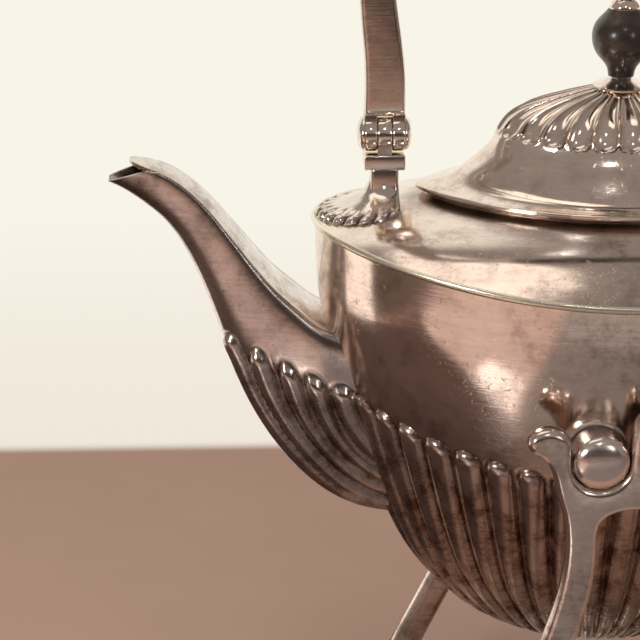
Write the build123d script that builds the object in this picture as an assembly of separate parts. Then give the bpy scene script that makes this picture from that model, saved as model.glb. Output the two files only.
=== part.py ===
from build123d import *
import os
from math import copysign, cos, pi, sin, sqrt

# Spirit kettle on its stand. Millimetres, +Z up, spout towards -X, user's side at -Y.
# The pieces are drawn about the kettle's upright centre line, with z = 0 at the ends of the shoulder's edge,
# and save() moves them so that the part stands on z = 0 with its box centred on the origin.

# ---- driving dimensions ----
# kettle body
body_length = 200.0
body_width = 138.0
body_depth = 150.0  # shoulder's ends down to the underside
body_wall = 1.2
body_floor = 1.6
pointedness = 1.1  # 1 is an ellipse, more draws the ends out to a point
# shoulder
sheer = 9.5  # how far the shoulder's edge dips at the sides
shoulder_sheet = 1.6
bead_out = 1.0  # bead wire, proud of the body's wall
bead_up = 0.5
bead_height = 2.4
# lid and its bezel
bezel_length = 125.0
bezel_width = 72.2
bezel_wall = 1.4
bezel_margin = 1.5  # flat of the shoulder round the bezel
bezel_drop = 4.5  # how far it hangs below the shoulder's flat
shoulder_flat_rise = 7.6
lid_rise = 9.4  # flange's underside
lid_gap = 0.2  # flange over bezel
lid_length = 133.0
lid_width = 80.0
lid_height = 32.0
lid_pointedness = 1.5  # of the flange, the bezel and the shoulder's flat
lid_sheet = 1.2
flange_edge = 1.2
skirt_gap = 0.6
skirt_wall = 1.0
skirt_depth = 5.5
# lid hinge, on the far side
hinge_radius = 2.4
hinge_pin_radius = 1.0
hinge_offset = 3.0  # axis outside the flange's edge
hinge_knuckle = 5.0
hinge_count = 5
running_gap = 0.05  # radial, round every turning pin
side_gap = 0.2  # between knuckles, end to end
# finial
finial_base_radius = 9.0
finial_base_height = 4.0
finial_knob_radius = 10.0
finial_knob_height = 22.0
finial_cap_height = 5.0
finial_rod_radius = 1.5
finial_nut_size = 7.0
finial_nut_height = 3.0
# spout
spout_wall = 1.3
strainer_half_width = 11.0
strainer_half_height = 20.0
strainer_depth = 66.0  # its centre, below the shoulder's ends
strainer_sheet = 0.8
strainer_lap = 2.0
strainer_hole_radius = 1.2
strainer_pitch = 5.0
# handle lugs and hinges
pivot_x = 77.0
pivot_rise = 27.9
barrel_radius = 5.85
barrel_length = 13.4
middle_knuckle = 4.8
lug_block_height = 5.0
lug_block_gap = 0.35  # block's top under the arm's knuckles
post_width = 9.0
foot_reach = 21.8  # trumpet foot, towards the spout
foot_half_width = 19.5
handle_pin_radius = 1.7
pin_head_height = 2.3
# handle
arm_thickness = 7.2
grip_rise = 100.2  # grip's axis above the pivots
grip_length = 84.0
grip_end_radius = 6.4
grip_middle_radius = 9.0
insulator_radius = 7.6
insulator_thickness = 3.0
ferrule_length = 9.0
ferrule_radius = 6.6
grip_rod_radius = 2.0
rod_into_arm = 4.0
# trunnions
trunnion_pitch = 29.0  # front pair to rear pair
trunnion_drop = 56.3
collar_radius = 10.0
collar_inset = 0.5  # collar's face, inside the body's widest
button_radius = 8.75
button_inset = 0.9  # stud's edge, inside the frame's outer face
button_dome = 3.0
# stand
stand_drop = 240.0  # shoulder's ends down to the table
frame_clearance = 3.0  # collar's face to the side frames' inner faces
frame_thickness = 7.0
notch_gap = 0.3
horn_half_width = 6.9
horn_half_height = 4.7
horn_x = 30.4
horn_drop = 50.0
peak_offset = 2.2  # peak between the notches, off the middle towards the spout
arch_drop = 72.8
leg_waist = 14.6  # inner edge of a leg under the arch
leg_width = 9.6
leg_foot_width = 13.0
leg_spread = 69.5  # middle of a leg's foot, from the middle of the frame
foot_height = 12.0
foot_radius = 11.0
stretcher_height = 30.0  # its middle above the table
stretcher_width = 8.0
stretcher_depth = 6.0
screw_head_radius = 4.4
screw_head_height = 2.2
screw_radius = 1.8
screw_depth = 8.0  # into the stretcher
# burner
ring_outer_radius = 43.0
ring_inner_radius = 37.5
ring_height = 5.0
strap_width = 14.0
burner_gap = 0.4
reservoir_radius = 37.1
reservoir_flange_radius = 41.0
reservoir_depth = 20.0  # below the flange
reservoir_wall = 1.0
flange_sheet = 1.5
dome_rise = 9.0
collar_outer_radius = 14.0
collar_rise = 6.0
wick_tube_radius = 9.0
wick_tube_wall = 0.8
wick_tube_rise = 6.0
wick_rise = 2.5
cap_radius = 12.6
cap_height = 12.5
cap_wall = 0.9
cap_gap = 0.4
cap_hinge_radius = 2.0
cap_pin_radius = 0.8
burner_handle_reach = 27.0
burner_handle_width = 7.0
finger_loop_radius = 9.0
finger_loop_rim = 2.6

OVAL_POINTS = 24

# ---- values worked out from them ----
half_length = body_length / 2
half_width = body_width / 2
table = -stand_drop
bezel_half_length = bezel_length / 2
bezel_half_width = bezel_width / 2
lid_half_length = lid_length / 2
lid_half_width = lid_width / 2
grip_z = pivot_rise + grip_rise
ferrule_end = grip_length / 2 + insulator_thickness + ferrule_length
trunnion_x = trunnion_pitch / 2
collar_face = half_width - collar_inset
frame_face = collar_face + frame_clearance
frame_out = frame_face + frame_thickness
button_edge = frame_out - button_inset

os.makedirs("parts", exist_ok=True)


# ---- shared shapes ----
def oval(length, width, height, pointed=pointedness):
    """Level oval face: x = length cos t, y = width |sin t|^pointed with the sign of sin t."""
    points = []
    for i in range(OVAL_POINTS):
        turn = 2 * pi * i / OVAL_POINTS
        across = copysign(abs(sin(turn)) ** pointed, sin(turn))
        points.append((length * cos(turn), width * across, height))
    return Face(Wire([Edge.make_spline(points, periodic=True)]))


def oval_loft(stations, grow=0.0):
    """Solid through level ovals given as (height, half length, half width), grown by the same amount.

    A station may end with a pointedness of its own.
    """
    faces = [oval(length + grow, width + grow, height, *own) for height, length, width, *own in stations]
    return loft(faces)


def lid_prism(length, width, low, high):
    """Upright solid with the flange's plan shape."""
    return loft([oval(length, width, z, lid_pointedness) for z in (low, high)], ruled=True)


def slab(x_low, x_high, y_low, y_high, z_low, z_high):
    """Box from its low and high faces."""
    middle = ((x_low + x_high) / 2, (y_low + y_high) / 2, (z_low + z_high) / 2)
    return Pos(*middle) * Box(x_high - x_low, y_high - y_low, z_high - z_low)


def rod_x(radius, x_low, x_high, y, z):
    return Pos((x_low + x_high) / 2, y, z) * Rot(0, 90, 0) * Cylinder(radius, x_high - x_low)


def rod_y(radius, y_low, y_high, x, z):
    return Pos(x, (y_low + y_high) / 2, z) * Rot(90, 0, 0) * Cylinder(radius, y_high - y_low)


def rod_z(radius, z_low, z_high, x=0.0, y=0.0):
    return Pos(x, y, (z_low + z_high) / 2) * Cylinder(radius, z_high - z_low)


def turned(points):
    """Solid turned about the upright axis from a closed (radius, height) outline."""
    outline = [(r, 0, h) for r, h in points]
    return revolve(Face(Wire.make_polygon(outline)), Axis.Z)


def mirrored_x(shape):
    return mirror(shape, about=Plane.YZ)


def mirrored_y(shape):
    return mirror(shape, about=Plane.XZ)


# ---- where the part stands ----
spout_lip_x = 167.7
kettle_x = (spout_lip_x - half_length - bead_out) / 2


def save(name, *shapes):
    moved = [Pos(kettle_x, 0, stand_drop) * solid for shape in shapes for solid in shape.solids()]
    export_step(Compound(children=moved) if len(moved) > 1 else moved[0], f"parts/{name}.step")


# ---- kettle body: share of depth, of half length and of half width, from the shoulder down ----
body_shares = [
    (-0.10, 1.000, 1.000),
    (0.00, 1.000, 1.000),
    (0.08, 0.996, 0.996),
    (0.18, 0.986, 0.988),
    (0.28, 0.952, 0.967),
    (0.375, 0.908, 0.939),
    (0.48, 0.860, 0.902),
    (0.59, 0.808, 0.842),
    (0.69, 0.752, 0.766),
    (0.79, 0.680, 0.670),
    (0.88, 0.580, 0.552),
    (0.96, 0.450, 0.416),
    (1.00, 0.345, 0.310),
]
body_stations = [(-d * body_depth, a * half_length, b * half_width) for d, a, b in body_shares]
body_solid = oval_loft(body_stations)
cavity_stations = body_stations[:-1]
cavity_stations.append((-body_depth + body_floor,) + body_stations[-1][1:])
body_cavity = oval_loft(cavity_stations, grow=-body_wall)


def body_width_at(drop):
    """Half width of the body at a depth below the shoulder's ends, between the stations."""
    for (d0, _, b0), (d1, _, b1) in zip(body_shares, body_shares[1:]):
        if d0 * body_depth <= drop <= d1 * body_depth:
            part = (drop / body_depth - d0) / (d1 - d0)
            return (b0 + part * (b1 - b0)) * half_width
    return half_width


# ---- shoulder: a dome whose level ovals widen as they fall, trimmed where it meets the body's wall ----
flat_half_length = bezel_half_length + bezel_margin
flat_half_width = bezel_half_width + bezel_margin
end_run = half_length - flat_half_length
side_run = half_width - flat_half_width
knee_share, level_share = 0.33, 0.58
shoulder_stations = [
    (-1.5 * sheer, 1.45 * half_length, 1.085 * half_width),
    (-sheer, 1.28 * half_length, half_width),
    (0.0, half_length, flat_half_width + level_share * side_run),
    (0.62 * shoulder_flat_rise, flat_half_length + knee_share * end_run, flat_half_width + 0.21 * side_run, 1.3),
    (shoulder_flat_rise, flat_half_length, flat_half_width, lid_pointedness),
]
shoulder_dome = oval_loft(shoulder_stations)
shoulder_under = Pos(0, 0, -shoulder_sheet) * shoulder_dome
air_low = -1.5 * sheer - shoulder_sheet + 2.0
air_block = slab(-1.2 * half_length, 1.2 * half_length, -1.2 * half_width, 1.2 * half_width, air_low, 40)
above_shoulder = air_block - shoulder_under

strainer_centre = Pos(-half_length, 0, -strainer_depth)


def strainer_core(half_w, half_h):
    """Elliptical bar along X that crosses the body's front wall where the spout leaves it."""
    return strainer_centre * Rot(0, 90, 0) * extrude(Ellipse(half_h, half_w), amount=0.3 * half_length, both=True)


kettle_body = body_solid - body_cavity - above_shoulder - strainer_core(strainer_half_width, strainer_half_height)
save("kettle_body", kettle_body)

bezel_hole = lid_prism(bezel_half_length, bezel_half_width, -30, 30)
shoulder = (shoulder_dome - shoulder_under) & (body_solid & air_block)
shoulder = shoulder - bezel_hole
save("shoulder", shoulder)

bead_band = oval_loft(body_stations[:5], grow=bead_out) - body_solid
bead_band = bead_band & (Pos(0, 0, bead_up) * shoulder_dome & air_block)
bead_band = bead_band - Pos(0, 0, bead_up - bead_height) * shoulder_dome
save("shoulder_bead", bead_band)

# ---- lid bezel ----
bezel_top = lid_rise - lid_gap
bezel_low = shoulder_flat_rise - bezel_drop
lid_bezel = lid_prism(bezel_half_length, bezel_half_width, bezel_low, bezel_top)
lid_bezel -= lid_prism(bezel_half_length - bezel_wall, bezel_half_width - bezel_wall, -30, 30)
save("lid_bezel", lid_bezel)

# ---- spout strainer: pierced plate soldered inside the front wall ----
lap_width = strainer_half_width + strainer_lap
lap_height = strainer_half_height + strainer_lap
strainer = (body_cavity - oval_loft(cavity_stations, grow=-body_wall - strainer_sheet))
strainer = strainer & strainer_core(lap_width, lap_height)
rows = int((strainer_half_height - strainer_hole_radius) / strainer_pitch)
holes = []
for row in range(-rows, rows + 1):
    height = row * strainer_pitch
    room = strainer_half_width * sqrt(1 - (height / strainer_half_height) ** 2) - 1.5 * strainer_hole_radius
    columns = int(max(room, 0) / strainer_pitch)
    for column in range(-columns, columns + 1):
        across = column * strainer_pitch
        hole = rod_x(strainer_hole_radius, -1.3 * half_length, -0.5 * half_length, across, height - strainer_depth)
        holes.append(hole)
strainer = strainer - holes
save("spout_strainer", strainer)

# ---- spout ----
# Each station is a cross section from its lowest point up to the middle of its flat top band:
# top (x out from the centre, height), bottom (x, height), half width of the band, half width of the belly.
spout_stations = [
    ((84.0, -38.5), (66.0, -107.0), 13.4, 17.0),
    ((96.0, -34.4), (86.8, -102.8), 13.0, 17.0),
    ((105.2, -27.8), (109.3, -84.0), 12.2, 16.0),
    ((113.7, -19.8), (124.4, -58.7), 11.4, 14.2),
    ((122.0, -9.6), (134.0, -32.6), 10.4, 12.2),
    ((130.0, 0.8), (140.9, -14.6), 9.3, 10.4),
    ((138.2, 10.1), (148.6, -1.6), 8.1, 8.9),
    ((147.0, 16.6), (156.1, 5.5), 7.2, 7.8),
    ((155.0, 19.6), (162.9, 10.3), 6.6, 6.8),
    ((spout_lip_x - 4.7, 20.6), (spout_lip_x + 2.8, 14.0), 5.8, 6.0),
]
crown = 1.2  # rise of the top band's middle over its edges


def spout_section(top, bottom, band, belly, inset):
    """D-shaped section in the plane through top and bottom, square to the centre plane."""
    dx, dz = top[0] - bottom[0], top[1] - bottom[1]
    size = sqrt(dx * dx + dz * dz)
    ux, uz = dx / size, dz / size

    def at(across, up):
        return (-(bottom[0] + ux * up), across, bottom[1] + uz * up)

    low, high = inset, size - crown - inset
    tall = high - low
    edge, wide = band - inset, belly - inset
    roof = Edge.make_three_point_arc(at(-edge, high), at(0, high + crown), at(edge, high))
    belly_points = [
        at(edge, high),
        at(wide, low + 0.62 * tall),
        at(0.80 * wide, low + 0.26 * tall),
        at(0, low),
        at(-0.80 * wide, low + 0.26 * tall),
        at(-wide, low + 0.62 * tall),
        at(-edge, high),
    ]
    return Face(Wire([roof, Edge.make_spline(belly_points)]))


spout_outer = loft([spout_section(*station, 0.0) for station in spout_stations])
spout_inner = loft([spout_section(*station, spout_wall) for station in spout_stations])

# The mouth: an upper lip, rounded in plan, over a longer lower lip, with a V between them at each side.
lip_notch = (-spout_lip_x + 11.9, 17.4)
upper_lip = (-spout_lip_x + 7.1, 18.2)
lower_lip = (-spout_lip_x, 13.4)
lip_round = (9.5, 6.8)  # half length and half width of the upper lip's rounded end
mouth = Wire.make_polygon(
    [
        (lip_notch[0], 0, lip_notch[1]),
        (upper_lip[0], 0, upper_lip[1]),
        (upper_lip[0] - 1.6, 0, upper_lip[1] + 6),
        (-spout_lip_x - 25, 0, 40),
        (-spout_lip_x - 25, 0, -10),
        (lower_lip[0] + 0.2, 0, lower_lip[1] - 6),
        (lower_lip[0], 0, lower_lip[1]),
    ]
)
mouth_cut = extrude(Face(mouth), amount=30, dir=(0, 1, 0), both=True)
lip_root = upper_lip[0] + lip_round[0]
lip_trim = slab(-spout_lip_x - 25, lip_root, -30, 30, lip_notch[1], 40)
mouth_cut += lip_trim - Pos(lip_root, 0, 0) * extrude(Ellipse(*lip_round), amount=60)
spout = spout_outer - body_solid - spout_inner - mouth_cut
spout = max(spout.solids(), key=lambda solid: solid.volume)
save("spout", spout)

# ---- lid: share of height, of half length and of half width, and pointedness ----
lid_shares = [
    (0.041, 0.910, 0.895, 1.5),
    (0.106, 0.820, 0.830, 1.4),
    (0.208, 0.756, 0.775, 1.32),
    (0.302, 0.698, 0.725, 1.25),
    (0.428, 0.635, 0.657, 1.18),
    (0.550, 0.602, 0.617, 1.13),
    (0.686, 0.559, 0.573, 1.1),
    (0.770, 0.510, 0.522, 1.1),
    (0.836, 0.444, 0.450, 1.1),
    (0.930, 0.293, 0.315, 1.1),
    (1.000, 0.150, 0.200, 1.1),
]
flange_top = lid_rise + flange_edge
lid_flange = lid_prism(lid_half_length, lid_half_width, lid_rise, flange_top)
lid_stations = [(flange_top, lid_half_length, lid_half_width, lid_pointedness)]
for rise, a, b, own in lid_shares:
    lid_stations.append((flange_top + rise * lid_height, a * lid_half_length, b * lid_half_width, own))
lid_top = lid_stations[-1][0]
lid_outer = oval_loft(lid_stations) + lid_flange
cavity_mouth = (bezel_half_length - bezel_wall - skirt_gap - skirt_wall, bezel_half_width - bezel_wall - skirt_gap - skirt_wall)
lid_hollow = [(lid_rise - 1.0, cavity_mouth[0] - 0.6, cavity_mouth[1] - 0.6, lid_pointedness)]
for height, a, b, own in lid_stations[2:]:
    lid_hollow.append((height - 1.3 * lid_sheet, a - lid_sheet, b - lid_sheet, own))
lid_shell = lid_outer - oval_loft(lid_hollow)
finial_bore = rod_z(finial_rod_radius, lid_rise, lid_top + 5)
lid_shell -= finial_bore
save("lid_shell", lid_shell)

skirt_half_length = bezel_half_length - bezel_wall - skirt_gap
skirt_half_width = bezel_half_width - bezel_wall - skirt_gap
lid_skirt = lid_prism(skirt_half_length, skirt_half_width, lid_rise - skirt_depth, lid_rise)
lid_skirt -= lid_prism(skirt_half_length - skirt_wall, skirt_half_width - skirt_wall, -30, 60)
save("lid_skirt", lid_skirt)

# ---- lid hinge: five knuckles on one pin, at the far side ----
hinge_y = lid_half_width + hinge_offset
hinge_z = lid_rise + flange_edge / 2
hinge_start = -hinge_count * hinge_knuckle / 2
lid_knuckles = slab(
    -1.8 * hinge_knuckle, 1.8 * hinge_knuckle, lid_half_width - 3.5, lid_half_width + 0.2, lid_rise, flange_top + 2.0
)
leaf = []
for i in range(hinge_count):
    low = hinge_start + i * hinge_knuckle + side_gap / 2
    high = hinge_start + (i + 1) * hinge_knuckle - side_gap / 2
    barrel = rod_x(hinge_radius, low, high, hinge_y, hinge_z)
    if i % 2 == 1:
        web = slab(low, high, lid_half_width - 1.0, hinge_y, lid_rise, flange_top + 0.6)
        lid_knuckles += barrel + web
    else:
        stem = slab(low, high, hinge_y - 0.6 * hinge_radius, hinge_y + hinge_radius, -8, hinge_z)
        leaf.append((barrel + stem) - shoulder_dome - rod_x(hinge_pin_radius, -60, 60, hinge_y, hinge_z))
lid_knuckles -= lid_outer
lid_knuckles -= rod_x(hinge_pin_radius + running_gap, -60, 60, hinge_y, hinge_z)
save("lid_hinge_knuckles", max(lid_knuckles.solids(), key=lambda solid: solid.volume))
save("lid_hinge_leaf", *[max(piece.solids(), key=lambda solid: solid.volume) for piece in leaf])
lid_hinge_pin = rod_x(hinge_pin_radius, hinge_start + side_gap / 2, -hinge_start - side_gap / 2, hinge_y, hinge_z)
save("lid_hinge_pin", lid_hinge_pin)

# ---- finial: a turned knob on a plated base, held by a rod and nut ----
base_top = lid_top + finial_base_height
finial_base = turned(
    [
        (finial_rod_radius, lid_top),
        (finial_base_radius, lid_top),
        (finial_base_radius, lid_top + 0.3 * finial_base_height),
        (0.5 * finial_base_radius, lid_top + 0.7 * finial_base_height),
        (0.45 * finial_base_radius, base_top),
        (finial_rod_radius, base_top),
    ]
)
save("finial_base", finial_base)
knob_top = base_top + finial_knob_height
knob_shares = [(0.42, 0.0), (0.46, 0.1), (0.82, 0.32), (1.0, 0.55), (0.9, 0.78), (0.62, 0.93), (0.5, 1.0)]
knob_side = [(finial_knob_radius * r, base_top + finial_knob_height * h) for r, h in knob_shares]
finial_knob = turned([(finial_rod_radius, base_top)] + knob_side + [(finial_rod_radius, knob_top)])
save("finial_knob", finial_knob)
cap_base_radius = 0.5 * finial_knob_radius
finial_cap = turned(
    [
        (0, knob_top),
        (cap_base_radius, knob_top),
        (0.9 * cap_base_radius, knob_top + 0.35 * finial_cap_height),
        (0.5 * cap_base_radius, knob_top + 0.75 * finial_cap_height),
        (0, knob_top + finial_cap_height),
    ]
)
save("finial_cap", finial_cap)
nut_top = lid_hollow[-1][0]
nut_low = nut_top - finial_nut_height
save("finial_rod", rod_z(finial_rod_radius, nut_low - 1.0, knob_top))
finial_nut = Pos(0, 0, nut_low) * extrude(RegularPolygon(finial_nut_size / 2, 6, major_radius=False), finial_nut_height)
save("finial_nut", finial_nut - finial_bore)

# ---- handle lugs: trumpet foot, post, block and middle knuckle ----
block_top = pivot_rise - barrel_radius - lug_block_gap
block_low = block_top - lug_block_height
inner_face = pivot_x - post_width / 2 - 0.3
foot_rise = block_low - 1.0
# share of the foot's height, of its reach and of its half width, from the post down
foot_shares = [
    (1.00, 0.20, 0.18),
    (0.78, 0.22, 0.21),
    (0.56, 0.32, 0.32),
    (0.38, 0.54, 0.54),
    (0.24, 0.78, 0.77),
    (0.10, 0.97, 0.96),
    (-0.20, 1.04, 1.04),
]
foot_sections = []
for share, reach, wide in reversed(foot_shares):
    section = Ellipse(foot_reach * reach, foot_half_width * wide)
    foot_sections.append(Pos(pivot_x, 0, share * foot_rise) * section)
trumpet = loft(foot_sections)
trumpet = trumpet & slab(inner_face, pivot_x + 2 * foot_reach, -2 * foot_half_width, 2 * foot_half_width, -30, 60)
post = slab(inner_face, pivot_x + post_width / 2, -post_width / 2, post_width / 2, 0.3 * foot_rise, block_low + 0.5)
block = slab(
    pivot_x - barrel_length / 2, pivot_x + barrel_length / 2, -barrel_radius, barrel_radius, block_low, block_top
)
block = chamfer(block.faces().sort_by(Axis.Z)[0].edges(), 1.2)
middle_low = pivot_x - middle_knuckle / 2 + side_gap / 2
middle_high = pivot_x + middle_knuckle / 2 - side_gap / 2
knuckle = rod_x(barrel_radius - side_gap, middle_low, middle_high, 0, pivot_rise)
knuckle += slab(middle_low, middle_high, -0.85 * barrel_radius, 0.85 * barrel_radius, block_top - 1, pivot_rise)
knuckle -= rod_x(handle_pin_radius + running_gap, 0, 2 * pivot_x, 0, pivot_rise)
raw_lug = trumpet + post + block + knuckle
for name, raw in (("rear_handle_lug", raw_lug), ("front_handle_lug", mirrored_x(raw_lug))):
    lug = raw - shoulder_dome
    save(name, max(lug.solids(), key=lambda solid: solid.volume))

# ---- handle arms: forked at the pivot, sweeping up to the ferrules ----
arm_base = pivot_rise + barrel_radius + lug_block_gap
arm_rise = grip_z - arm_base
arm_run = pivot_x - ferrule_end
outer_x = pivot_x + barrel_length / 2
inner_x = pivot_x - barrel_length / 2
outer_line = [
    (outer_x, arm_base),
    (outer_x - 0.1, arm_base + 0.17 * arm_rise),
    (outer_x + 1.5, arm_base + 0.38 * arm_rise),
    (outer_x + 1.7, arm_base + 0.60 * arm_rise),
    (outer_x - 0.12 * arm_run, arm_base + 0.82 * arm_rise),
    (ferrule_end + 0.52 * arm_run, grip_z - 0.2 * ferrule_radius),
    (ferrule_end, grip_z + 0.8 * ferrule_radius),
]
inner_line = [
    (ferrule_end, grip_z - 0.8 * ferrule_radius),
    (ferrule_end + 0.36 * arm_run, grip_z - 2.2 * ferrule_radius),
    (inner_x + 1.8, arm_base + 0.72 * arm_rise),
    (inner_x + 4.3, arm_base + 0.55 * arm_rise),
    (inner_x + 2.8, arm_base + 0.36 * arm_rise),
    (inner_x + 0.4, arm_base + 0.17 * arm_rise),
    (inner_x, arm_base),
]
arm_edges = [
    Edge.make_spline([(x, 0, z) for x, z in outer_line]),
    Edge.make_line((*outer_line[-1][:1], 0, outer_line[-1][1]), (inner_line[0][0], 0, inner_line[0][1])),
    Edge.make_spline([(x, 0, z) for x, z in inner_line]),
    Edge.make_line((inner_x, 0, arm_base), (outer_x, 0, arm_base)),
]
arm = extrude(Face(Wire(arm_edges)), amount=arm_thickness / 2, dir=(0, 1, 0), both=True)
cheek = (barrel_length - middle_knuckle - side_gap) / 2
for low in (inner_x, outer_x - cheek):
    arm += rod_x(barrel_radius, low, low + cheek, 0, pivot_rise)
    arm += slab(low, low + cheek, -arm_thickness / 2, arm_thickness / 2, pivot_rise, arm_base + 0.5)
arm -= rod_x(handle_pin_radius, 0, 2 * pivot_x, 0, pivot_rise)
arm -= rod_x(grip_rod_radius, 0, ferrule_end + rod_into_arm, 0, grip_z)
save("rear_handle_arm", arm)
save("front_handle_arm", mirrored_x(arm))


def domed_head(radius, height):
    """Low dome on a flat face at z = 0."""
    return turned([(0, 0), (radius, 0), (0.94 * radius, 0.45 * height), (0.7 * radius, 0.8 * height), (0, height)])


handle_pin = rod_x(handle_pin_radius, inner_x, outer_x, 0, pivot_rise)
handle_pin += Pos(outer_x, 0, pivot_rise) * Rot(0, 90, 0) * domed_head(0.95 * barrel_radius, pin_head_height)
handle_pin += Pos(inner_x, 0, pivot_rise) * Rot(0, -90, 0) * domed_head(0.95 * barrel_radius, pin_head_height)
save("rear_handle_pin", handle_pin)
save("front_handle_pin", mirrored_x(handle_pin))


# ---- grip ----
def turned_x(points, z):
    """Solid turned about the grip's axis from a closed (x, radius) outline."""
    return Pos(0, 0, z) * Rot(0, 90, 0) * turned([(r, x) for x, r in points])


grip_half = grip_length / 2
grip_shares = [(-1.0, 0.0), (-0.86, 0.25), (-0.5, 0.75), (0.0, 1.0), (0.5, 0.75), (0.86, 0.25), (1.0, 0.0)]
swell = grip_middle_radius - grip_end_radius
grip_side = [(grip_half * along, grip_end_radius + swell * share) for along, share in grip_shares]
grip = turned_x([(-grip_half, grip_rod_radius)] + grip_side + [(grip_half, grip_rod_radius)], grip_z)
save("handle_grip", grip)
disc = rod_x(insulator_radius, grip_half, grip_half + insulator_thickness, 0, grip_z)
disc -= rod_x(grip_rod_radius, 0, 100, 0, grip_z)
save("handle_insulators", disc, mirrored_x(disc))
ferrule_start = grip_half + insulator_thickness
ferrule = turned_x(
    [
        (ferrule_start, grip_rod_radius),
        (ferrule_start, ferrule_radius),
        (ferrule_start + 0.25 * ferrule_length, ferrule_radius + 0.7),
        (ferrule_start + 0.45 * ferrule_length, ferrule_radius - 0.8),
        (ferrule_end, ferrule_radius - 0.2),
        (ferrule_end, grip_rod_radius),
    ],
    grip_z,
)
save("handle_ferrules", ferrule, mirrored_x(ferrule))
rod_end = ferrule_end + rod_into_arm
save("grip_rod", rod_x(grip_rod_radius, -rod_end, rod_end, 0, grip_z))

# ---- trunnions: round collar on the body's wall, then a domed stud that rests in the notch ----
wall_y = body_width_at(trunnion_drop) - 8
stud_side = [
    (0, wall_y),
    (collar_radius, wall_y),
    (collar_radius, collar_face - 0.8),
    (collar_radius - 0.8, collar_face),
    (button_radius, collar_face),
    (button_radius, button_edge),
    (0.9 * button_radius, button_edge + 0.45 * button_dome),
    (0.6 * button_radius, button_edge + 0.82 * button_dome),
    (0, button_edge + button_dome),
]


def trunnion(x, turn):
    """Stud on one side, trimmed to the body's wall; turn is 90 for the user's side and -90 for the far one."""
    stud = Pos(x, 0, -trunnion_drop) * Rot(turn, 0, 0) * turned(stud_side)
    return max((stud - body_solid).solids(), key=lambda solid: solid.volume)


for name, x in (("front_trunnions", -trunnion_x), ("rear_trunnions", trunnion_x)):
    save(name, trunnion(x, 90), trunnion(x, -90))

# ---- stand's side frames: two notches with a peak between them, an outer horn each side, and two legs ----
notch_radius = button_radius + notch_gap
peak_radius = trunnion_pitch - notch_radius  # lets the rear trunnions swing out about the front ones
notch_in = trunnion_x - notch_radius
notch_out = trunnion_x + notch_radius
horn_z = -horn_drop
leg_top = -arch_drop - 9.2
leg_low = table + foot_height
leg_drop = leg_top - leg_low
leg_run = leg_spread - leg_width / 2 - leg_waist
waist_out = leg_waist + leg_width
# share of the leg's drop and of its outward run
leg_shares = [(0.09, 0.005), (0.23, 0.09), (0.40, 0.245), (0.59, 0.47), (0.775, 0.72), (0.91, 0.90)]


def swing_height(x):
    """Height, at x, of the circle about the front trunnions that the rear trunnions' notch side keeps to."""
    return -trunnion_drop + sqrt(peak_radius**2 - (x + trunnion_x) ** 2)


def half_outline(side):
    """Edges of one half of a side frame: side is -1 towards the spout and 1 towards the back."""

    def at(x, z):
        return (side * x, 0, z)

    middle = (0, 0, swing_height(0))
    peak = (-peak_offset, 0, swing_height(-peak_offset))
    notch_lip = at(notch_in, -trunnion_drop)
    if side > 0:
        across = (notch_in * 0.62, 0, swing_height(notch_in * 0.62))
        inner = [Edge.make_three_point_arc(middle, across, notch_lip)]
    else:
        crest_rise = swing_height(-peak_offset) + trunnion_drop
        steep = [
            notch_lip,
            at(0.97 * notch_in, -trunnion_drop + 0.45 * crest_rise),
            at(0.76 * notch_in, -trunnion_drop + 0.82 * crest_rise),
            peak,
        ]
        across = (-peak_offset / 2, 0, swing_height(-peak_offset / 2))
        inner = [Edge.make_three_point_arc(middle, across, peak), Edge.make_spline(steep)]
    horn = [
        at(notch_out, -trunnion_drop),
        at(horn_x - 0.97 * horn_half_width, horn_z - 0.3 * horn_half_height),
        at(horn_x - 0.80 * horn_half_width, horn_z + 0.48 * horn_half_height),
        at(horn_x - 0.30 * horn_half_width, horn_z + 0.96 * horn_half_height),
        at(horn_x + 0.38 * horn_half_width, horn_z + 0.96 * horn_half_height),
        at(horn_x + 0.88 * horn_half_width, horn_z + 0.48 * horn_half_height),
        at(horn_x + 0.97 * horn_half_width, horn_z - 0.12 * horn_half_height),
        at(horn_x + 0.74 * horn_half_width, horn_z - 0.68 * horn_half_height),
        at(horn_x + 0.32 * horn_half_width, horn_z - 1.02 * horn_half_height),
    ]
    neck = horn_z - 1.02 * horn_half_height
    outer = [
        horn[-1],
        at(waist_out + 6.1, neck - 0.11 * (neck - leg_top)),
        at(waist_out + 3.4, neck - 0.42 * (neck - leg_top)),
        at(waist_out + 1.1, neck - 0.72 * (neck - leg_top)),
        at(waist_out, leg_top),
    ]
    inner_leg = [at(leg_waist, leg_top)]
    for drop, run in leg_shares:
        widen = leg_width + (leg_foot_width - leg_width) * drop
        centre = leg_waist + leg_width / 2 + run * leg_run
        outer.append(at(centre + widen / 2, leg_top - drop * leg_drop))
        inner_leg.append(at(centre - widen / 2, leg_top - drop * leg_drop))
    outer.append(at(leg_spread + leg_foot_width / 2, leg_low))
    inner_leg.append(at(leg_spread - leg_foot_width / 2, leg_low))
    arch = [
        at(leg_waist, leg_top),
        at(0.92 * leg_waist, -arch_drop - 4.2),
        at(0.63 * leg_waist, -arch_drop - 1.0),
        at(0, -arch_drop),
    ]
    notch = Edge.make_three_point_arc(notch_lip, at(trunnion_x, -trunnion_drop - notch_radius), horn[0])
    return inner + [
        notch,
        Edge.make_spline(horn),
        Edge.make_spline(outer),
        Edge.make_line(outer[-1], inner_leg[-1]),
        Edge.make_spline(inner_leg[::-1]),
        Edge.make_spline(arch),
        Edge.make_line(arch[-1], middle),
    ]


side_frame = Part()
for side in (-1, 1):
    half = extrude(Face(Wire(half_outline(side))), amount=frame_thickness, dir=(0, 1, 0))
    side_frame += Pos(0, frame_face, 0) * half

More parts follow.
